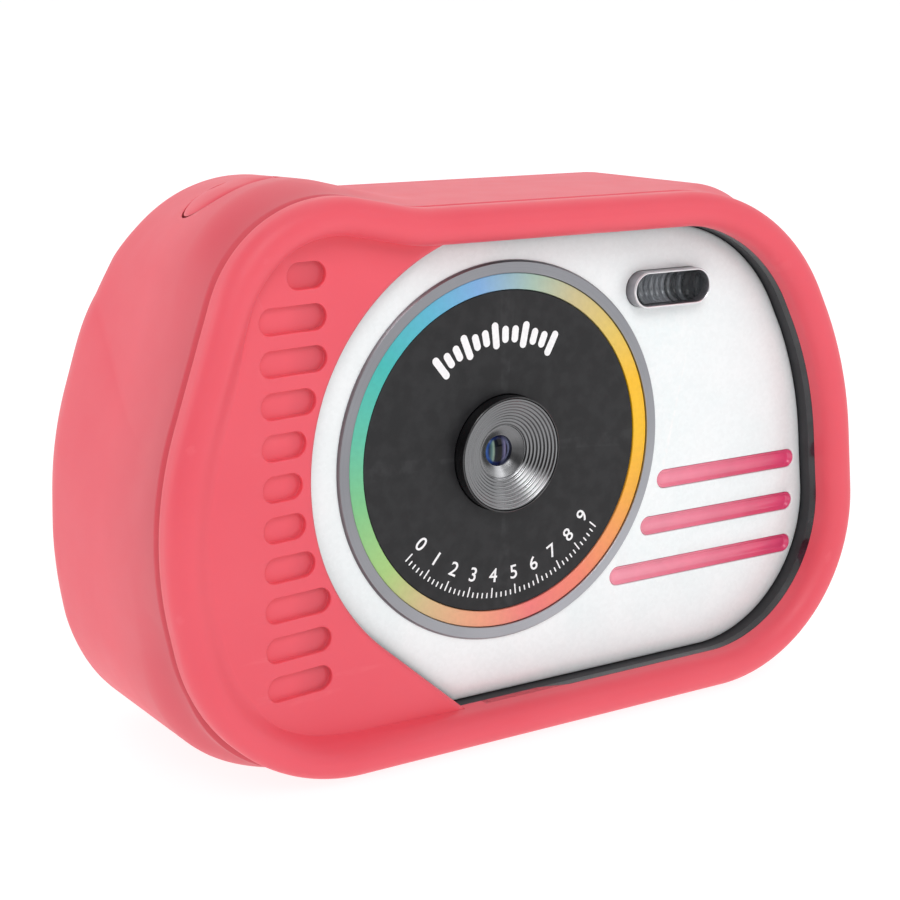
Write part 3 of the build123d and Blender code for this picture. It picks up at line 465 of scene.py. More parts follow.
def moulded(name, tones, rough, worn, blotch=70.0, grain=(4200.0, 0.012), **sockets):
    """A surface whose colour drifts between two tones, with fine grain and lighter worn edges."""
    look = Look(name, **sockets)
    drift = look.ramp(look.noise(blotch), [(0.32, 0.0), (0.68, 1.0)])
    tone = look.mix(drift, rgb(tones[0]), rgb(tones[1]))
    edge = look.ramp(look.add("NewGeometry").outputs["Pointiness"], [(0.52, 0.0), (0.60, 1.0)])
    patchy = look.ramp(look.noise(blotch * 9), [(0.40, 0.15), (0.62, 0.75)])
    wear = look.maths("MULTIPLY", edge, patchy)
    look.set("Base Color", look.mix(wear, tone, rgb(worn)))
    shade = look.noise(blotch * 5, 4.0)
    look.set("Roughness", look.maths("MULTIPLY_ADD", shade, rough[1] - rough[0], rough[0]))
    look.grain(*grain)
    return look


LOOKS = {
    "case_plastic": moulded("case_plastic", ("28282b", "2c2c2f"), (0.46, 0.56), "333337",
                            grain=(3600.0, 0.012)),
    "trim_black": moulded("gloss_black", ("0c0c0e", "121215"), (0.16, 0.30), "303036",
                          grain=(900.0, 0.003), Coat_Weight=0.4, Coat_Roughness=0.12),
    "disc_dark": moulded("dark_disc", ("1c1c1e", "202022"), (0.40, 0.46), "343436",
                         blotch=60.0, grain=(2600.0, 0.002), Specular_IOR_Level=0.3),
    "component": moulded("component_black", ("17171a", "232326"), (0.35, 0.6), "4a4a4e"),
    "foam": moulded("gasket_foam", ("151515", "1f1f1f"), (0.75, 0.95), "2c2c2c",
                    grain=(2500.0, 0.08)),
    "board": moulded("solder_mask", ("0c4a2a", "12593a"), (0.3, 0.45), "2c7a50",
                     grain=(1500.0, 0.02), Coat_Weight=0.3),
    "flex": moulded("polyimide", ("b8701c", "c9842c"), (0.3, 0.45), "d79a48"),
    "wire": moulded("wire_red", ("b5211c", "c42d27"), (0.4, 0.5), "d4554f"),
    "led": moulded("led_phosphor", ("f4e08a", "efe7ad"), (0.3, 0.4), "fdf6cc"),
    "key_plastic": moulded("key_white", ("e9e9ee", "f1f1f5"), (0.28, 0.40), "ffffff",
                           grain=(3000.0, 0.004), Coat_Weight=0.2, Coat_Roughness=0.25),
    "metal": moulded("plated_steel", ("a4a6aa", "b4b6ba"), (0.22, 0.36), "d0d2d6",
                     grain=(2400.0, 0.004), Metallic=1.0),
    "battery_foil": moulded("battery_foil", ("b0b1b4", "c3c4c7"), (0.3, 0.5), "dcdde0",
                            grain=(700.0, 0.04), Metallic=0.8),
}


def sleeve_silicone():
    """Soft silicone, with painted shade darkening it just behind the bead on the grip side."""
    look = moulded("soft_silicone", ("eb5564", "ee5b69"), (0.42, 0.54), "ef626f", blotch=45.0,
                   grain=(5200.0, 0.008), Subsurface_Weight=0.10, Subsurface_Scale=0.002,
                   Sheen_Weight=0.03, Sheen_Roughness=0.4, Specular_IOR_Level=0.42)
    depth = look.share_from(1, -20, 20)
    # painted shade: darkest just behind the bead, fading out towards the back, on the left side only
    crease_painted_shade = look.ramp(depth, [(0.15, 1.0), (0.18, 0.78), (0.45, 0.88), (0.95, 1.0)])
    side = look.ramp(look.share_from(0, 0, -30), [(0.5, 0.0), (1.0, 1.0)])
    tone = look.painted()
    look.set("Base Color", look.mix(side, tone, look.multiply(tone, crease_painted_shade)))
    return look


def pearl_white():
    """Satin white paint with fine pearl sparkle."""
    look = moulded("pearl_white", ("f3fafb", "f9fdfe"), (0.30, 0.42), "ffffff",
                   blotch=120.0, grain=(2200.0, 0.010), Coat_Weight=0.35, Coat_Roughness=0.18)
    flake = look.add("TexVoronoi", {"Vector": look.spot, "Scale": 2400.0}).outputs["Color"]
    spark = look.ramp(flake, [(0.2, 0.94), (0.8, 1.0)])
    look.set("Base Color", look.multiply(look.painted(), spark, 0.5))
    look.set("Metallic", look.maths("MULTIPLY", look.noise(1800.0), 0.10))
    return look


def spun_silver(name, tones, rough, fine, reflection_stops, riser_highlight_stops=None):
    """Metal turned on a lathe, with painted reflections: tones round the lens axis, and painted highlights
    on the steps' riser faces.
    """
    look = Look(name, Metallic=1.0)
    radius, angle = look.polar()
    spread = look.add("CombineXYZ", {0: look.maths("MULTIPLY", radius, fine),
                                     1: look.maths("MULTIPLY", angle, 3.0)}).outputs[0]
    groove = look.noise(1.0, 4.0, spot=spread)
    drift = look.ramp(look.noise(90.0), [(0.3, 0.0), (0.7, 1.0)])
    tone = look.mix(drift, rgb(tones[0]), rgb(tones[1]))
    line = look.ramp(groove, [(0.3, 0.86), (0.7, 1.0)])
    # painted reflection: lighter and darker by angle round the lens axis, with painted highlights on the
    # riser faces
    painted_reflection = look.ramp(angle, reflection_stops)
    if riser_highlight_stops:
        steps = look.maths("DIVIDE", look.maths("SUBTRACT", STEP_OUTER * MM, radius), STEP_PITCH * MM)
        on_riser = look.ramp(look.maths("FRACT", steps),
                             [(0.50, 0.0), (0.64, 1.0), (0.94, 1.0), (1.0, 0.2)])
        painted_reflection = look.mix(on_riser, painted_reflection, look.ramp(angle, riser_highlight_stops))
    look.set("Base Color", look.multiply(look.multiply(tone, painted_reflection), line))
    look.set("Roughness", look.maths("MULTIPLY_ADD", groove, rough[1] - rough[0], rough[0]))
    look.grain(0, 0.004, groove)
    return look


GLASS_RADIUS = 1.9
# painted reflections across the glass, left to right: dark with light streaks
GLASS_PAINTED_REFLECTION = [(0.0, "16306e"), (0.14, "0c1634"), (0.24, "56777a"), (0.30, "8fa596"), (0.36, "0d1424"),
               (0.50, "030409"), (0.60, "05050c"), (0.68, "4b4a6c"), (0.75, "7b769a"), (0.82, "120f26"),
               (1.0, "0b0c22")]
# painted reflection across the flash's mirror: light and dark bars, left to right
FLASH_PAINTED_REFLECTION = [
    (0.00, "b6babf"), (0.10, "a9adb2"), (0.12, "0c0d0f"), (0.21, "0a0b0d"), (0.23, "c3c8ce"),
    (0.33, "b4b9c0"), (0.42, "ccd1d7"), (0.58, "c2c7ce"), (0.61, "26282b"), (0.65, "b4b9be"),
    (0.71, "1c1e20"), (0.77, "8f949a"), (0.83, "101113"), (1.00, "3a3d40"),
]
# Painted reflections for the turned metal, as grey levels by turn round the lens axis: the band is lightest
# at the lower right and darkest at the left, the cone bright at the bottom, the step treads darkest at the
# bottom and lower right, and the riser table paints bright highlights on the steps' riser faces at the
# bottom and lower right.
BAND_PAINTED_REFLECTION = [(0.0, 0.80), (0.12, 0.70), (0.3, 0.72), (0.5, 0.66), (0.62, 0.72), (0.75, 0.9), (0.88, 1.0),
              (1.0, 0.80)]
CONE_PAINTED_REFLECTION = [(0.0, 0.10), (0.1, 0.22), (0.3, 0.27), (0.5, 0.25), (0.68, 0.30), (0.76, 0.85), (0.82, 0.70),
              (0.90, 0.12), (1.0, 0.10)]
TREAD_PAINTED_REFLECTION = [(0.0, 0.34), (0.1, 0.28), (0.25, 0.26), (0.5, 0.27), (0.70, 0.28), (0.74, 0.24), (0.84, 0.20),
               (0.92, 0.34), (1.0, 0.34)]
RISER_PAINTED_HIGHLIGHT = [(0.0, 0.08), (0.08, 0.14), (0.2, 0.24), (0.3, 0.27), (0.68, 0.28), (0.73, 0.95), (0.82, 1.0),
               (0.88, 0.60), (0.93, 0.10), (1.0, 0.08)]
STEP_OUTER = 6.9            # outer radius of the lens surround's steps
STEP_PITCH = 0.39           # and the width of each step
RAINBOW = [
    (0.000, "ffc400"), (0.055, "ffc408"), (0.11, "e8c75e"), (0.17, "ccc08e"), (0.22, "a9c6b6"),
    (0.28, "7db2e6"), (0.335, "55b6d4"), (0.40, "33bbb6"), (0.47, "58c2a4"), (0.53, "7cc887"),
    (0.60, "a9d07b"), (0.655, "d6bb88"), (0.72, "f3a27e"), (0.78, "f47a77"), (0.845, "f78468"),
    (0.90, "f99f55"), (0.945, "fbb22f"), (1.000, "ffc400"),
]


def rainbow_film():
    """A printed sweep of colour round the lens under clear gloss."""
    look = Look("rainbow_film", Coat_Weight=0.3, Coat_Roughness=0.15)
    _, angle = look.polar()
    return look.clouded(look.ramp(angle, RAINBOW), (1500.0, 0.93), (400.0, 0.12, 0.34), (1800.0, 0.004))


def stripe_pink():
    """Candy-coloured plastic, pale at the left and deep at the right."""
    look = Look("stripe_pink", Coat_Weight=0.5, Coat_Roughness=0.12)
    sweep = look.ramp(look.share_from(0, 14, 31),
                      [(0.0, "f79aae"), (0.45, "f2809a"), (0.8, "ea5a80"), (1.0, "e2457a")])
    return look.clouded(sweep, (260.0, 0.9), (500.0, 0.14, 0.24), (1400.0, 0.006))


def lens_coating():
    """Dark glass with painted reflections: light streaks, and blue and violet edges standing in for an
    anti-reflection coating's sheen.
    """
    look = Look("coated_glass", Coat_Weight=0.2, Coat_Roughness=0.02, Specular_IOR_Level=0.12)
    radius, _ = look.polar()
    share = look.maths("DIVIDE", radius, GLASS_RADIUS * MM)
    rim = look.ramp(share, [(0.70, 0.0), (0.84, 1.0)])
    across = look.share_from(0, LENS[0] - GLASS_RADIUS, 2 * GLASS_RADIUS)
    # painted reflection: coloured bands at the glass's edges
    edge = look.ramp(across, [(0.0, "3d6cc4"), (0.35, "12275c"), (0.6, "141038"), (1.0, "8d93b8")])
    tone = look.mix(rim, look.ramp(across, GLASS_PAINTED_REFLECTION), edge)
    return look.clouded(tone, (1300.0, 0.8), (900.0, 0.04, 0.03), (900.0, 0.001))


def ribbed_mirror():
    """A dark mirror with painted reflections: light and dark bars across it, and lighter rib crests, stand
    in for the light its upright ribs pick up.
    """
    look = Look("ribbed_mirror", Metallic=0.35, Specular_IOR_Level=0.6)
    share = look.share_from(0, FLASH[0] - FLASH_SIZE[0] / 2, FLASH_SIZE[0])
    ribs = look.maths("PINGPONG", look.maths("MULTIPLY", share, 26.0), 0.5)
    # painted highlight on the rib crests
    fine = look.ramp(ribs, [(0.3, 0.62), (0.5, 1.0)])
    tone = look.multiply(look.ramp(share, FLASH_PAINTED_REFLECTION), fine)
    return look.clouded(tone, (400.0, 0.85), (600.0, 0.12, 0.2), (1400.0, 0.006))


def flash_chrome():
    """A bright front edge over a wall with painted shadow that darkens it towards the plate."""
    look = moulded("bright_rim", ("e4e5ea", "f0f1f5"), (0.14, 0.24), "ffffff",
                   grain=(1200.0, 0.003), Metallic=0.5)
    # painted contact shadow: the wall darkens towards the plate
    wall = look.ramp(look.share_from(1, PLATE_Y - FLASH_RISE, FLASH_RISE),
                     [(0.0, "ffffff"), (0.06, "ffffff"), (0.16, "a5a3a6"), (1.0, "6b686c")])
    look.set("Base Color", look.multiply(look.painted(), wall))
    return look


def clear_window():
    """A thin clear pane: mostly see-through, with a little grey and a gloss."""
    look = Look("clear_window", Alpha=0.12)
    tint = look.ramp(look.noise(300.0), [(0.3, "3c4045"), (0.7, "4a4e53")])
    look.set("Base Color", tint)
    look.uneven(700.0, 0.04, 0.02)
    look.grain(600.0, 0.002)
    return look


def screen_glass():
    """Black gloss glass; the picture area behind it is a shade lighter than its border."""
    look = Look("screen_glass", Coat_Weight=1.0, Coat_Roughness=0.03)
    inside = []
    for axis, middle, half in ((0, SCREEN_X, 20.75), (2, REAR_CENTRE_Z, 15.75)):
        away = look.maths("ABSOLUTE", look.share_from(axis, middle, half))
        inside.append(look.maths("LESS_THAN", away, 1.0))
    area = look.maths("MULTIPLY", *inside)
    smear = look.ramp(look.noise(60.0), [(0.35, 0.75), (0.7, 1.0)])
    tone = look.mix(area, rgb("08080a"), rgb("1c2126"))
    look.set("Base Color", look.multiply(tone, smear))
    look.uneven(180.0, 0.10, 0.05)
    look.grain(500.0, 0.001)
    return look


LOOKS |= {
    "sleeve_silicone": sleeve_silicone(),
    "plate_white": pearl_white(),
    "silver": spun_silver("spun_silver", ("b4b5bb", "bdbec4"), (0.34, 0.46), 26000.0, BAND_PAINTED_REFLECTION),
    "rainbow_film": rainbow_film(),
    "stripe_pink": stripe_pink(),
    "lens_glass": lens_coating(),
    "clear_window": clear_window(),
    "screen_window": screen_glass(),
    "reflector": ribbed_mirror(),
}
BRIGHT_RIM = flash_chrome()
PRINT_WHITE = moulded("print_white", ("efeff1", "f8f8fa"), (0.5, 0.62), "ffffff",
                      blotch=300.0, grain=(5000.0, 0.004))
PRINT_GREY = moulded("print_grey", ("6a6b72", "75767d"), (0.5, 0.62), "8c8d94",
                     blotch=300.0, grain=(5000.0, 0.004))
STEP_SILVER = spun_silver("step_silver", ("ecedf0", "f2f2f5"), (0.24, 0.32), 3000.0, TREAD_PAINTED_REFLECTION,
                          RISER_PAINTED_HIGHLIGHT)
LENS_CONE = spun_silver("lens_cone", ("ecedf0", "f2f2f5"), (0.22, 0.30), 3000.0, CONE_PAINTED_REFLECTION)


def look_of(slot):
    return LOOKS[slot].material


def set_in(build, name, slot, replaces=(), look=None, body="camera", sharp=28):
    """Places a build as a piece, with its slot's look unless it is given another."""
    material = look.material if look else look_of(slot)
    return place(name, build.mesh(name), material, body, replaces, sharp)


# ------------------------------------------------------------------ soft sleeve
GRIP_EDGE, GRIP_TOP, GRIP_BOTTOM = junctions(BEAD_WIDTH, 0.0)
ON_GRIP = np.zeros(STATIONS, bool)
ON_GRIP[np.arange(GRIP_TOP + 1, GRIP_BOTTOM)] = True


def sleeve_profile():
    """Rings of the whole sleeve, from the outside wall round the back and the inside to the bead."""
    depths = (-15.6, *np.arange(-15.0, -8.0, 0.5), *np.arange(-7.0, 12.6, 1.5))
    rings = [sleeve_ring(0, y) for y in depths]
    for angle in np.radians(np.linspace(0, 90, 17)[1:]):
        inset = BACK_ROUND * (1 - cos(angle))
        rings.append(sleeve_ring(inset, BACK - BACK_ROUND + BACK_ROUND * sin(angle)))
    for angle in np.radians(np.linspace(0, 90, 6)[1:]):
        rings.append(sleeve_ring(REAR_FRAME - 1 + sin(angle), BACK - 1 + cos(angle)))
    rings.append(sleeve_ring(REAR_FRAME, CASE_BACK))
    inner_round = BACK_ROUND - WALL
    for angle in np.radians(np.linspace(90, 0, 7)):
        inset = BACK_ROUND - inner_round * cos(angle)
        rings.append(sleeve_ring(inset, BACK - BACK_ROUND + inner_round * sin(angle)))
    rings.append(sleeve_ring(WALL, np.where(lip_drops(), RIM_Y, TRIM_Y)))
    rings.extend(grip_rings())
    rings.extend(bead_rings())
    for y in (-17.7, -17.2):
        rings.append(sleeve_ring(0, y))
    for share in np.linspace(-1, 1, 11):
        rings.append(sleeve_ring(0.5 * (0.5 + 0.5 * cos(pi * share)), GROOVE_Y + 0.75 * share))
    return rings


def panel_y(x):
    """The grip panel's depth: flat by the window, rising towards the bead at the left."""
    share = np.clip((RISE_START - x) / RISE_WIDTH, 0, 1)
    return PANEL_Y - PANEL_RISE * share ** 1.4


def lip_drops():
    """Stations where the sleeve's front reaches the case: the grip panel and a little beyond it."""
    reach = ON_GRIP.copy()
    for shift in range(1, 5):
        reach |= np.roll(ON_GRIP, shift) | np.roll(ON_GRIP, -shift)
    return reach


def softness():
    """How gently the bead falls to the grip panel, by station: 0 steep, 1 a long slope."""
    x, z = BEAD_POINTS.T
    side = smooth_step(-x, 36, 46) * smooth_step(-z, -62, -50)
    low = 0.42 * smooth_step(-x, 8, 30) * smooth_step(-z, -30, -12)
    return np.maximum(side, low) * ON_GRIP


def grip_rings():
    """The window's edge, then columns of the flat grip panel out to the bead."""
    low = np.where(lip_drops(), RIM_Y, TRIM_Y)
    bead_line = sleeve_ring(fall_end(), PANEL_Y)[:, [0, 2]]
    edge = sleeve_ring(BEAD_WIDTH, PANEL_Y)[:, [0, 2]]
    edge[ON_GRIP] = resample(GRIP_EDGE, ON_GRIP.sum())
    outward = unit_rows(bead_line - edge)
    outward[ON_GRIP] = grip_outward(edge[ON_GRIP])
    width = np.hypot(*(bead_line - edge).T)
    radius = np.where(ON_GRIP, np.minimum(0.8, 0.4 * width), 0.0)
    rings = [np.column_stack([edge[:, 0], low, edge[:, 1]])]
    for angle in np.radians(np.linspace(0, 90, 7)):
        spot = edge + outward * (radius * (1 - cos(angle)))[:, None]
        y = panel_y(spot[:, 0]) + np.where(ON_GRIP, radius, 0.05) * (1 - sin(angle))
        rings.append(np.column_stack([spot[:, 0], y, spot[:, 1]]))
    start = edge + outward * radius[:, None]
    for share in np.linspace(0, 1, 9)[1:-1]:
        spot = start * (1 - share) + bead_line * share
        rings.append(np.column_stack([spot[:, 0], panel_y(spot[:, 0]), spot[:, 1]]))
    return rings


def unit_rows(rows):
    lengths = np.hypot(*rows.T)
    return rows / np.where(lengths > 1e-6, lengths, 1)[:, None]


def grip_outward(points):
    """Away from the window, square to the grip panel's edge."""
    turn = radians(GRIP_EDGE_TURN)
    straight = np.array([cos(turn), sin(turn)])
    away = points - np.array(LENS)
    on_line = away @ np.array([-sin(turn), cos(turn)]) > 0
    low = away[:, 1] < 0
    return np.where((on_line & low)[:, None], straight, unit_rows(away))


SOFT_FALL = 3.2             # width of the long slope from the bead's crest to the panel


def fall_end():
    soft = softness()
    return BEAD_WIDTH * (1 - soft) + (BEAD_ROUND + 0.1 + SOFT_FALL) * soft


def bead_rings():
    """From the panel up the bead's inner side, over its crest and down outside."""
    soft = softness()
    crest = BEAD_ROUND + 0.1
    floor = panel_y(sleeve_ring(fall_end(), PANEL_Y)[:, 0])
    rings = []
    for step in range(19):
        if step < 4:
            steep = (BEAD_WIDTH, PANEL_Y + (FRONT + BEAD_ROUND - PANEL_Y) * step / 4)
        else:
            angle = radians(90 * (18 - step) / 14)
            steep = (crest + BEAD_ROUND * sin(angle), FRONT + BEAD_ROUND * (1 - cos(angle)))
        share = 1 - step / 18
        gentle = (crest + SOFT_FALL * share,
                  FRONT + (floor - FRONT) * (1 - cos(pi * share)) / 2)
        inset, y = [steep[axis] * (1 - soft) + gentle[axis] * soft for axis in (0, 1)]
        rings.append(sleeve_ring(inset, np.minimum(y, floor)))
    for angle in np.radians(np.linspace(90, 0, 13)):
        rings.append(sleeve_ring(BEAD_ROUND * (1 - cos(angle)), FRONT + BEAD_ROUND * (1 - sin(angle))))
    return rings


def side_reach(z):
    """The sleeve's right side at a height."""
    right = BODY_POINTS[:, 0] > 30
    order = np.argsort(BODY_POINTS[right, 1])
    return np.interp(z, BODY_POINTS[right, 1][order], BODY_POINTS[right, 0][order])


def top_height(x, y):
    """The top of the body behind the bead."""
    heights = []
    for points in (BODY_POINTS, BACK_POINTS):
        top = points[points[:, 1] > 48]
        top = top[np.argsort(top[:, 0])]
        heights.append(np.interp(x, top[:, 0], top[:, 1]))
    return heights[0] + (heights[1] - heights[0]) * smooth_step(y, *SHOULDER)


def on_front(flat, level):
    return np.column_stack([flat[:, 0], panel_y(flat[:, 0]) - level, flat[:, 1]])


def on_base(flat, level):
    return np.column_stack([flat, np.full(len(flat), -float(level))])


def on_top(flat, level):
    return np.column_stack([flat, top_height(*flat.T) + level])


def on_side(flat, level):
    past = np.clip(flat[:, 0] - (BACK - BACK_ROUND), 0, BACK_ROUND)
    inset = BACK_ROUND - np.sqrt(BACK_ROUND ** 2 - past ** 2)
    return np.column_stack([side_reach(flat[:, 1]) - inset + level, flat])


def pit(build, outline, surface, depth, lip, floor=0.0):
    """A cutter for a hole with a rounded lip. outline(grow) is flat; surface lifts it to a level."""
    loops = []
    if floor:
        for angle in np.radians(np.linspace(0, 90, 5)):
            loops.append((-floor * (1 - sin(angle)), -depth + floor * (1 - cos(angle))))
    else:
        loops.append((0, -depth))
    for angle in np.radians(np.linspace(0, 66, 6)):
        loops.append((lip * (1 - cos(angle)), lip * (sin(angle) - 1)))
    grow, level = loops[-1]
    loops.append((grow - level * 2.2 + 0.12, 0.05))
    loops.append((grow - level * 2.2 + 0.12, 2.5))
    build.solid([surface(outline(grow), level) for grow, level in loops])


def grip_marks():
    """Left and right ends and height of the pills pressed into the grip panel."""
    marks = []
    slope_end = sleeve_ring(fall_end(), PANEL_Y)[:, [0, 2]][ON_GRIP]
    for index in range(12):
        z = 34.1 + (index - 5.5) * 4.7
        near = slope_end[np.abs(slope_end[:, 1] - z) < 2.4]
        near = near[near[:, 0] < -30]
        left = max(-39.0, near[:, 0].max() + 0.7) if len(near) else -39.0
        away = abs(z - LENS[1])
        edge = LENS[0] - sqrt(max(29.6 ** 2 - (away + 0.8) ** 2, 0))
        right = min(-30.0, edge)
        if right - left > 4.0:
            marks.append((left, right, z))
    return marks


def sleeve_cutters():
    build = Build()
    for left, right, z in grip_marks():
        middle = ((left + right) / 2, z)
        pit(build, lambda g: pill(middle, right - left + 2 * g, 3.0 + 2 * g), on_front, 0.7, 0.14, 0.12)
    pit(build, lambda g: pill(SHUTTER, SHUTTER_SIZE[0] - 0.45 + 2 * g, SHUTTER_SIZE[1] - 0.45 + 2 * g),
        on_top, 8.0, 0.2)
    y, z, width, height = DOOR
    pit(build, lambda g: rounded_box((y, z), width + 1.5 + 2 * g, height + 1.5 + 2 * g, 1.4 + g),
        on_side, 9.0, 0.5)
    y, z, width, height = EYE
    pit(build, lambda g: rounded_box((y, z), width + 2 * g, height + 2 * g, 1.6 + g),
        on_side, 8.0, 0.6)
    for index in range(4):
        middle = (-2.0, -4.0 + (index - 1.5) * 2.4)
        pit(build, lambda g: pill(middle, 12.0 + 2 * g, 1.2 + 2 * g), on_base, 3.0, 0.25)
    return build.mesh("cutters")


def soft_sleeve():
    build = Build()
    build.skin(sleeve_profile(), closed=True)
    mesh = cut(build.mesh("sleeve_blank", 0.02), sleeve_cutters())
    place("soft_sleeve", mesh, look_of("sleeve_silicone"),
          replaces=["silicone_sleeve"], sharp=22)


def shutter_cap():
    """A low pad that follows the hump, with a thin gap round it."""
    build = Build()
    crown, edge, half_width, gap, foot_z = 0.5, 0.14, 4.05, 0.45, 65.2
    steps = [(-0.3, -0.45), (0.0, -0.12), (-0.08, 0.02), (-0.25, 0.12)]
    for share in np.linspace(0.12, 0.98, 9):
        steps.append((-half_width * share, crown - (crown - edge) * (1 - share) ** 2.2))
    length, width = (size - 2 * gap for size in SHUTTER_SIZE)
    foot = pill(SHUTTER, length - 1.2, width - 1.2)
    loops = [np.column_stack([foot, np.full(len(foot), foot_z)])]
    loops += [on_top(pill(SHUTTER, length + 2 * grow, width + 2 * grow), level) for grow, level in steps]
    build.solid(loops)
    set_in(build, "shutter_pad", "sleeve_silicone", ["shutter_button"], body="shutter", sharp=40)


# ------------------------------------------------------------------ front plate and what sits in it
def stripe_pill(drop, grow):
    start = LENS[0] + sqrt(STRIPE_START_RADIUS ** 2 - drop ** 2)
    middle = ((start + STRIPE_END) / 2, LENS[1] + drop)
    return pill(middle, STRIPE_END - start + 2 * grow, STRIPE_HEIGHT + 2 * grow)


PLATE_SLOPE = 2.0           # width of the rounding along the plate's edge
PLATE_DROP = 0.5            # and its depth


def front_plate():
    """The white plate: rounded off all round, with openings for the lens, stripes and flash."""
    build = Build()
    low = PLATE_Y + PLATE_DROP
    slope = [(0.0, PLATE_BACK), (0.0, low)]
    for angle in np.radians(np.linspace(14, 90, 9)):
        slope.append((PLATE_SLOPE * (1 - cos(angle)), low - PLATE_DROP * sin(angle)))
    build.solid([upright(window_outline(0.1 + inset), y) for inset, y in slope])
    cutters = Build()
    openings = [lambda g: circle(LENS, BAND_INNER + 0.7 + g, 160)]
    openings += [lambda g, d=drop: stripe_pill(d, g) for drop in STRIPE_DROPS]
    openings += [lambda g: flash_outline(FLASH_RIM + g)]
    for opening in openings:
        rim = [(0.0, PLATE_BACK + 1), (0.0, PLATE_Y + 0.12), (0.035, PLATE_Y + 0.035),
               (0.16, PLATE_Y - 0.04), (0.16, PLATE_Y - 1)]
        cutters.solid([upright(opening(grow), y) for grow, y in rim])
    mesh = cut(build.mesh("plate_blank"), cutters.mesh("plate_cutters"))
    place("white_plate", mesh, look_of("plate_white"), replaces=["front_plate"],
          sharp=35)


def stripes():
    """Three sunken trays, each with a sloping wall and a gently crowned floor, on one backing."""
    build = Build()
    backing = rounded_box((27.8, LENS[1] + STRIPE_DROPS[1]), 35.8, 17.0, 2.0)
    build.solid([upright(backing, y) for y in (PLATE_BACK + 0.9, PLATE_BACK)])
    steps = [(-0.05, PLATE_BACK + 0.05)]
    steps += [(grow, PLATE_Y + down) for grow, down in (
        (-0.05, 0.10), (-0.10, 0.03), (-0.18, 0.05), (-0.42, 0.42), (-0.52, 0.50), (-0.66, 0.52),
        (-0.85, 0.46), (-1.05, 0.42), (-1.2, 0.41))]
    for drop in STRIPE_DROPS:
        build.solid([upright(stripe_pill(drop, grow), y) for grow, y in steps])
    place("stripe_trays", build.mesh("stripe_trays", 0.0001), look_of("stripe_pink"),
          replaces=["stripe_insert"], sharp=40)


def flash_outline(grow):
    return pill(FLASH, FLASH_SIZE[0] + 2 * grow, FLASH_SIZE[1] + 2 * grow, 72)


def flash():
    """A thin bright rim round a clear window, over a ribbed reflector."""
    front = PLATE_Y - FLASH_RISE
    build = Build()
    rim = [(FLASH_RIM, -11.3), (FLASH_RIM, front + 0.2), (FLASH_RIM - 0.03, front + 0.08),
           (FLASH_RIM - 0.1, front), (0.06, front), (0.0, front + 0.06), (0.0, -11.3)]
    build.skin([upright(flash_outline(grow), y) for grow, y in rim], closed=True)
    set_in(build, "flash_rim", "plate_white", ["flash_bezel"], BRIGHT_RIM, sharp=40)
    build = Build()
    pane = [(-0.05, front + 1.1), (-0.05, front + 0.22), (-0.12, front + 0.12), (-0.25, front + 0.1)]
    build.solid([upright(flash_outline(grow), y) for grow, y in pane])
    set_in(build, "flash_pane", "clear_window", ["flash_window"], sharp=30)
    ribbed_reflector(front + 1.1)


def ribbed_reflector(front):
    """A mirror trough with upright ribs, seen through the flash window."""
    build = Build()
    x, z = FLASH
    half_x = FLASH_SIZE[0] / 2 - 0.1
    end_radius = FLASH_SIZE[1] / 2 - 0.1
    ribs = 13
    columns = []
    for index in range(ribs * 8 + 1):
        share = index / (ribs * 8) * 2 - 1
        rib = abs(sin(pi * ribs * (share + 1) / 2))
        centre = x + share * half_x
        bow = sqrt(max(1 - min(abs(share) * 1.02, 1) ** 4, 0.0))
        past = max(abs(share) * half_x - (half_x - end_radius), 0)
        half_z = sqrt(max(end_radius ** 2 - past ** 2, 0.01))
        column = []
        for step in range(13):
            height = step / 6 - 1
            trough = sqrt(max(1 - (height * 0.98) ** 2, 0))
            y = front + 0.25 + 2.2 * bow * trough - 0.4 * rib * trough
            column.append((centre, y, z + height * half_z))
        for step in range(12, -1, -1):
            column.append((centre, front + 3.95, z + (step / 6 - 1) * half_z))
        columns.append(column)
    build.solid(columns)
    set_in(build, "flash_mirror", "reflector", ["flash_reflector"], sharp=50)


# ------------------------------------------------------------------ lens
DIAL_EDGE = 19.95           # radii of the dark dial and of the two rings round it
COLOUR_RING = (20.05, 22.0)
BAND_INNER = 22.05
BARREL_BORE = 6.95
BARREL = 7.2
BARREL_FRONT = PLATE_Y - 1.7
CONE_BACK = -12.8           # the back of the steps and of the cone inside them
CONE_OUTER = 3.4            # the smooth cone's outer radius


def lens_rings():
    """The dark dial, the colour ring and the silver band, each a step further forward."""
    build = Build()
    turned(build, [(7.25, PLATE_BACK), (DIAL_EDGE, PLATE_BACK), (DIAL_EDGE, PLATE_Y + 0.05),
                   (DIAL_EDGE - 0.05, PLATE_Y), (7.32, PLATE_Y), (7.25, PLATE_Y + 0.07)])
    set_in(build, "dark_dial", "disc_dark", ["lens_disc"])
    build = Build()
    front = PLATE_Y - 0.15
    inner, outer = COLOUR_RING
    turned(build, [(inner, PLATE_BACK), (outer, PLATE_BACK), (outer, front + 0.06),
                   (outer - 0.06, front), (inner + 0.07, front), (inner, front + 0.07)], 200)
    set_in(build, "colour_ring", "rainbow_film", ["rainbow_ring"])
    build = Build()
    front = PLATE_Y - 0.4
    turned(build, [(BAND_INNER, PLATE_BACK), (22.7, PLATE_BACK), (22.7, PLATE_Y),
                   (23.6, PLATE_Y - 0.02), (23.6, PLATE_Y - 0.12), (23.5, PLATE_Y - 0.26),
                   (23.36, front), (22.15, front), (22.07, front + 0.05),
                   (BAND_INNER, front + 0.12)], 200)
    set_in(build, "silver_band", "silver", ["silver_ring"])


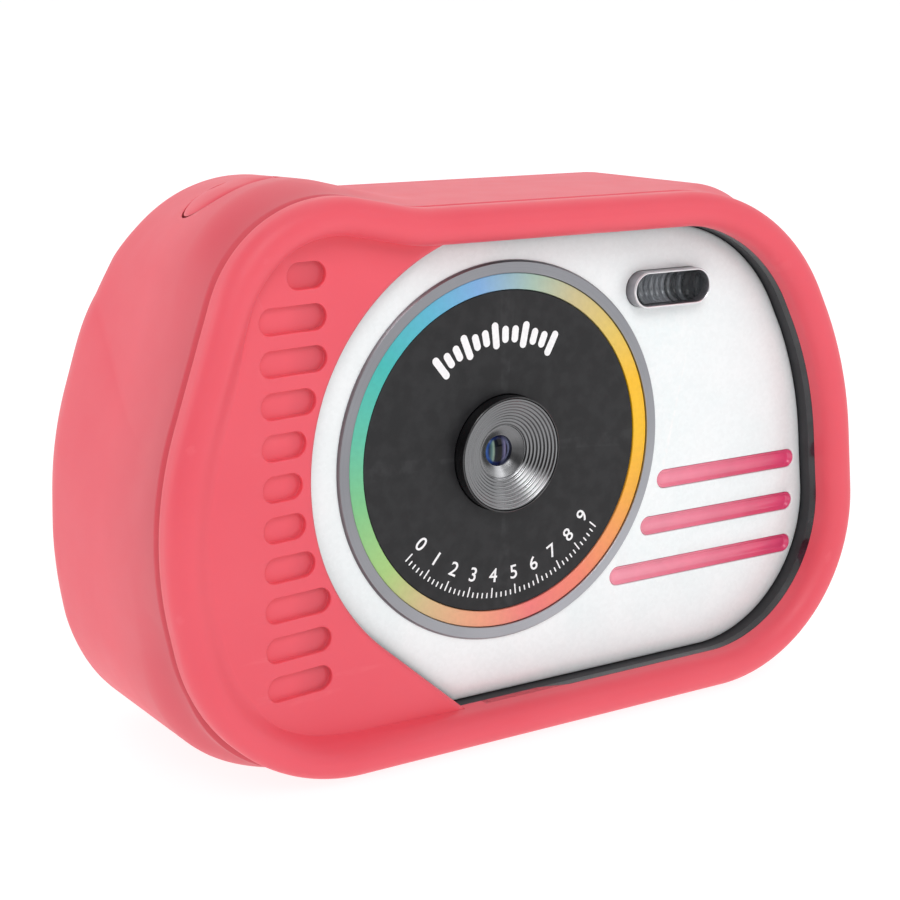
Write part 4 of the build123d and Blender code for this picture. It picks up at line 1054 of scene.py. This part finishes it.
def lens_barrel():
    """A black tube with a thin front lip, on a flange behind the dial."""
    build = Build()
    front = BARREL_FRONT
    turned(build, [
        (BARREL_BORE, CONE_BACK), (BARREL_BORE, front + 0.1), (BARREL_BORE + 0.02, front + 0.03),
        (BARREL_BORE + 0.06, front), (7.08, front), (7.16, front + 0.05), (BARREL, front + 0.2),
        (BARREL, -11.3), (8.7, -11.3), (8.7, -10.3), (3.55, -10.3), (3.55, CONE_BACK)])
    set_in(build, "lens_tube", "trim_black", ["lens_barrel"])


def stepped_cone():
    """Coved rings that step down to a smooth cone round the glass."""
    front = BARREL_FRONT + 0.1
    count = round((STEP_OUTER - CONE_OUTER) / STEP_PITCH)
    drop = 2.0 / count
    profile = [(STEP_OUTER, CONE_BACK), (STEP_OUTER, front + 0.05), (STEP_OUTER - 0.05, front)]
    for step in range(count):
        radius = STEP_OUTER - STEP_PITCH * step
        y = front + drop * step
        for inwards, down in ((0.02, 0), (0.60, 0), (0.72, 0.18), (0.88, 0.82)):
            profile.append((radius - inwards * STEP_PITCH, y + down * drop))
    build = Build()
    inner = CONE_OUTER - 0.05
    turned(build, profile + [(inner, front + 2.01), (inner, CONE_BACK)])
    set_in(build, "lens_steps", "silver", ["lens_step_ring"], STEP_SILVER, sharp=24)
    build = Build()
    end = CONE_BACK - 0.85
    outer = CONE_OUTER - 0.06
    turned(build, [(outer, CONE_BACK), (outer, front + 2.03), (outer - 0.1, front + 1.98),
                   (outer - 0.26, front + 2.01), (2.1, end + 0.25), (1.95, end + 0.32),
                   (GLASS_RADIUS, end + 0.45), (GLASS_RADIUS, CONE_BACK)], 128)
    set_in(build, "lens_collar", "silver", look=LENS_CONE)


def front_glass():
    """A domed front glass on a wider foot behind the cone."""
    build = Build()
    foot = -12.85
    apex = -13.42
    radius = GLASS_RADIUS - 0.04
    curve = 0.86                # share of the sphere's radius that the dome takes in
    edge = sqrt(1 - curve ** 2)
    loops = [upright(circle(LENS, size, 96), y) for size, y in ((2.3, -11.8), (2.3, foot), (radius, foot))]
    for share in np.linspace(0.98, 0.04, 14):
        bulge = sqrt(1 - (share * curve) ** 2)
        y = foot + (apex - foot) * (bulge - edge) / (1 - edge)
        loops.append(upright(circle(LENS, radius * share, 96), y))
    build.solid(loops)
    set_in(build, "front_glass", "lens_glass", ["lens_glass"], sharp=50)


# ------------------------------------------------------------------ print on the dial
BARS_RADIUS = 14.6
SCALE_RADIUS = 18.4         # outer ends of the scale's lines
NUMBER_RADIUS = 15.6
SCALE_ANGLES = (219, 321)


def polar_bar(radius, angle, length, width):
    """A rounded bar on the dial, pointing at the lens axis."""
    turn = radians(angle)
    flat = pill((0, 0), length, width, 20)
    spin = np.array([[cos(turn), sin(turn)], [-sin(turn), cos(turn)]])
    return flat @ spin + np.array(LENS) + radius * np.array([cos(turn), sin(turn)])


def inked(build, flat):
    build.solid([upright(flat, PLATE_Y + 0.02), upright(flat, PLATE_Y - 0.03)])


def dial_print():
    """A bold row of bars over the lens and a numbered scale under it."""
    build = Build()
    for index, angle in enumerate(np.linspace(129, 61.8, 13)):
        length = 2.1 if index % 3 else 3.3
        inked(build, polar_bar(BARS_RADIUS, angle, length, 0.95))
    for index, angle in enumerate(np.linspace(*SCALE_ANGLES, 46)):
        length = 0.7 if index % 5 else 1.3
        inked(build, polar_bar(SCALE_RADIUS - length / 2, angle, length, 0.18))
    set_in(build, "dial_marks", None, look=PRINT_WHITE)
    for value, angle in enumerate(np.linspace(*SCALE_ANGLES, 10)):
        number(value, angle)


def number(value, angle):
    """One numeral on the dial, upright as read from inside the scale."""
    curve = bpy.data.curves.new(f"numeral_{value}", "FONT")
    curve.body = str(value)
    curve.size = 2.5 * MM
    curve.align_x = "CENTER"
    curve.align_y = "CENTER"
    curve.extrude = 0.025 * MM
    curve.offset = 0.02 * MM
    curve.materials.append(PRINT_WHITE.material)
    piece = add_object(f"numeral_{value}", curve)
    turn = radians(angle)
    across, up = LENS[0] + NUMBER_RADIUS * cos(turn), LENS[1] + NUMBER_RADIUS * sin(turn)
    piece.location = Vector((across, PLATE_Y - 0.005, up)) * MM
    piece.rotation_euler = (pi / 2, -(turn + pi / 2), 0)
    piece.rotation_mode = "XYZ"
    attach(piece, "camera")


# ------------------------------------------------------------------ back
KEY_X = -27.5
KEYS = {
    "key_ok": (KEY_X, REAR_CENTRE_Z, 3.8),
    "key_right": (KEY_X - 9.0, REAR_CENTRE_Z, 3.0),
    "key_left": (KEY_X + 9.0, REAR_CENTRE_Z, 3.0),
    "key_up": (KEY_X, REAR_CENTRE_Z + 9.0, 3.0),
    "key_down": (KEY_X, REAR_CENTRE_Z - 9.0, 3.0),
    "key_power": (KEY_X - 7.0, REAR_CENTRE_Z + 12.6, 2.5),
    "key_play": (KEY_X - 7.0, REAR_CENTRE_Z - 12.6, 2.5),
}
DISH = 0.22


def key_cap(name, x, z, radius):
    """A round key with a dished top and its flange behind the panel."""
    build = Build()
    loops = [(radius + 0.8, 15.3), (radius + 0.8, 16.2), (radius, 16.2), (radius, KEY_Y - 0.5)]
    loops += [(radius - grow, KEY_Y + down) for grow, down in rounding(0.45)[1:]]
    for share in (0.75, 0.5, 0.28, 0.08):
        edge = radius - 0.45
        loops.append((edge * share, KEY_Y - DISH * (1 - share ** 2)))
    build.solid([upright(circle((x, z), size, 72), y) for size, y in loops])
    set_in(build, name + "_cap", "key_plastic", [name], body=name, sharp=35)


def icon(name, outlines, body):
    build = Build()
    for flat in outlines:
        build.solid([upright(flat, KEY_Y - 0.3), upright(flat, KEY_Y - 0.06)])
    set_in(build, name, None, look=PRINT_GREY, body=body)


def triangle(x, z, size, angle):
    """A triangle with rounded corners."""
    points = []
    for corner in range(3):
        middle = radians(angle + corner * 120)
        for step in range(7):
            turn = middle + radians(-60 + step * 20)
            points.append((x + size * 0.72 * cos(middle) + size * 0.28 * cos(turn),
                           z + size * 0.72 * sin(middle) + size * 0.28 * sin(turn)))
    return np.array(points)


def open_ring(x, z, radius, width, gap):
    """A ring with an opening at the top."""
    angles = np.radians(np.linspace(90 + gap, 450 - gap, 40))
    spokes = np.column_stack([np.cos(angles), np.sin(angles)])
    inner = spokes * (radius - width / 2)
    return np.array([x, z]) + np.vstack([spokes * (radius + width / 2), inner[::-1]])


def back_keys():
    for name, (x, z, radius) in KEYS.items():
        key_cap(name, x, z, radius)
    arrows = {"key_right": 180, "key_left": 0, "key_up": 90, "key_down": 270, "key_play": 180}
    for name, angle in arrows.items():
        x, z, _ = KEYS[name]
        icon(name + "_icon", [triangle(x, z, 1.05, angle)], name)
    x, z, _ = KEYS["key_power"]
    icon("key_power_icon", [open_ring(x, z, 1.05, 0.3, 38), pill((x, z + 0.75), 0.3, 0.31, 16),
                            np.array([(x - 0.15, z + 0.1), (x + 0.15, z + 0.1),
                                      (x + 0.15, z + 1.25), (x - 0.15, z + 1.25)])], "key_power")
    x, z, _ = KEYS["key_ok"]
    icon("key_ok_icon", [circle((x, z), 0.75, 40)], "key_ok")


def screen():
    build = Build()
    steps = [(0.0, CASE_BACK), (0.0, REAR_PANEL_Y - 0.35)]
    steps += [(grow, REAR_PANEL_Y + down) for grow, down in rounding(0.35)[1:]]
    build.solid([upright(rounded_box((SCREEN_X, REAR_CENTRE_Z), 45.9 - 2 * inset, 35.9 - 2 * inset,
                                     2.45 - inset), y) for inset, y in steps])
    set_in(build, "screen_pane", "screen_window", ["lcd_window"], sharp=30)


def door_leaf():
    """A copy of the CAD's port door with its hard edges rounded."""
    work = bmesh.new()
    work.from_mesh(frame["nodes"]["port_door"].data)
    bmesh.ops.remove_doubles(work, verts=work.verts, dist=0.01 * MM)
    bmesh.ops.dissolve_limit(work, angle_limit=radians(1), verts=work.verts, edges=work.edges)
    mesh = bpy.data.meshes.new("door_leaf")
    work.to_mesh(mesh)
    work.free()
    piece = place("door_leaf", mesh, look_of("case_plastic"), "port_door",
                  ["port_door"], sharp=30)
    bevel = piece.modifiers.new("edges", "BEVEL")
    bevel.width = 0.25 * MM
    bevel.segments = 3
    bevel.limit_method = "ANGLE"
    bevel.angle_limit = radians(40)
    bevel.use_clamp_overlap = True
    piece.modifiers.move(1, 0)


# ------------------------------------------------------------------ everything else keeps its CAD shape
def dress_cad_nodes():
    """A procedural material for every CAD node that is shown as it is."""
    for part in frame["record"]["subparts"]:
        node = frame["nodes"][part["node"]]
        for slot in node.material_slots:
            slot.material = look_of(part["material_slot"])


VIEW_TURN = radians(-33.1)  # the photograph's view, from the front towards the grip side


def studio():
    """A bright sweep that curves up behind the camera's subject, and soft lights."""
    line = [(-14000, 0), (900, 0)]
    for angle in np.radians(np.linspace(8, 90, 14)):
        line.append((900 + 700 * sin(angle), 700 * (1 - cos(angle))))
    line.append((1600, 3000))
    sweep = Build()
    ends = []
    for x in (-9000, 9000):
        under = [(x, y + 6, z - 6.02) for y, z in line[::-1]]
        ends.append([(x, y, z - 0.02) for y, z in line] + under)
    turn = np.array([[cos(VIEW_TURN), sin(VIEW_TURN), 0],
                     [-sin(VIEW_TURN), cos(VIEW_TURN), 0], [0, 0, 1]])
    sweep.solid([np.array(end) @ turn for end in ends])
    mesh = sweep.mesh("backdrop")
    mesh.polygons.foreach_set("use_smooth", [True] * len(mesh.polygons))
    mesh.set_sharp_from_angle(angle=radians(30))
    look = moulded("backdrop_white", ("7c7c7c", "808080"), (0.7, 0.8), "828282", blotch=6.0,
                   grain=(300.0, 0.01), Emission_Color=(1, 1, 1, 1), Emission_Strength=0.87)
    mesh.materials.append(look.material)
    add_object("backdrop", mesh)
    world = bpy.data.worlds.new("studio")
    world.use_nodes = True
    sky = world.node_tree.nodes["Background"].inputs
    sky["Color"].default_value = (1, 1, 1, 1)
    sky["Strength"].default_value = 0.34
    bpy.context.scene.world = world
    for name, spot, size, power in (
        ("key", (-0.24, -0.60, 0.62), 0.45, 2.9),
        ("left", (-0.70, 0.35, 0.25), 0.45, 1.1),
        ("fill", (0.60, -0.55, 0.35), 0.50, 0.7),
        ("top", (0.05, 0.10, 0.75), 0.60, 0.9),
    ):
        light = bpy.data.lights.new(name, "AREA")
        light.size = size
        light.energy = power
        lamp = add_object(name, light)
        lamp.location = spot
        lamp.rotation_euler = (Vector((0, 0, 0.035)) - Vector(spot)).to_track_quat("-Z", "Y").to_euler()
    bpy.context.scene.view_settings.view_transform = "Standard"


def camera():
    lens = bpy.data.cameras.new("camera")
    lens.lens = 73.8
    lens.sensor_width = 36.0
    lens.clip_start = 0.01
    eye = add_object("camera", lens)
    eye.location = (-0.1296, -0.1948, 0.0871)
    eye.rotation_euler = Vector((0.5324, 0.8157, -0.2262)).to_track_quat("-Z", "Y").to_euler()
    bpy.context.scene.camera = eye


camera()
studio()
soft_sleeve()
shutter_cap()
front_plate()
stripes()
flash()
lens_rings()
lens_barrel()
stepped_cone()
front_glass()
dial_print()
back_keys()
screen()
door_leaf()
dress_cad_nodes()
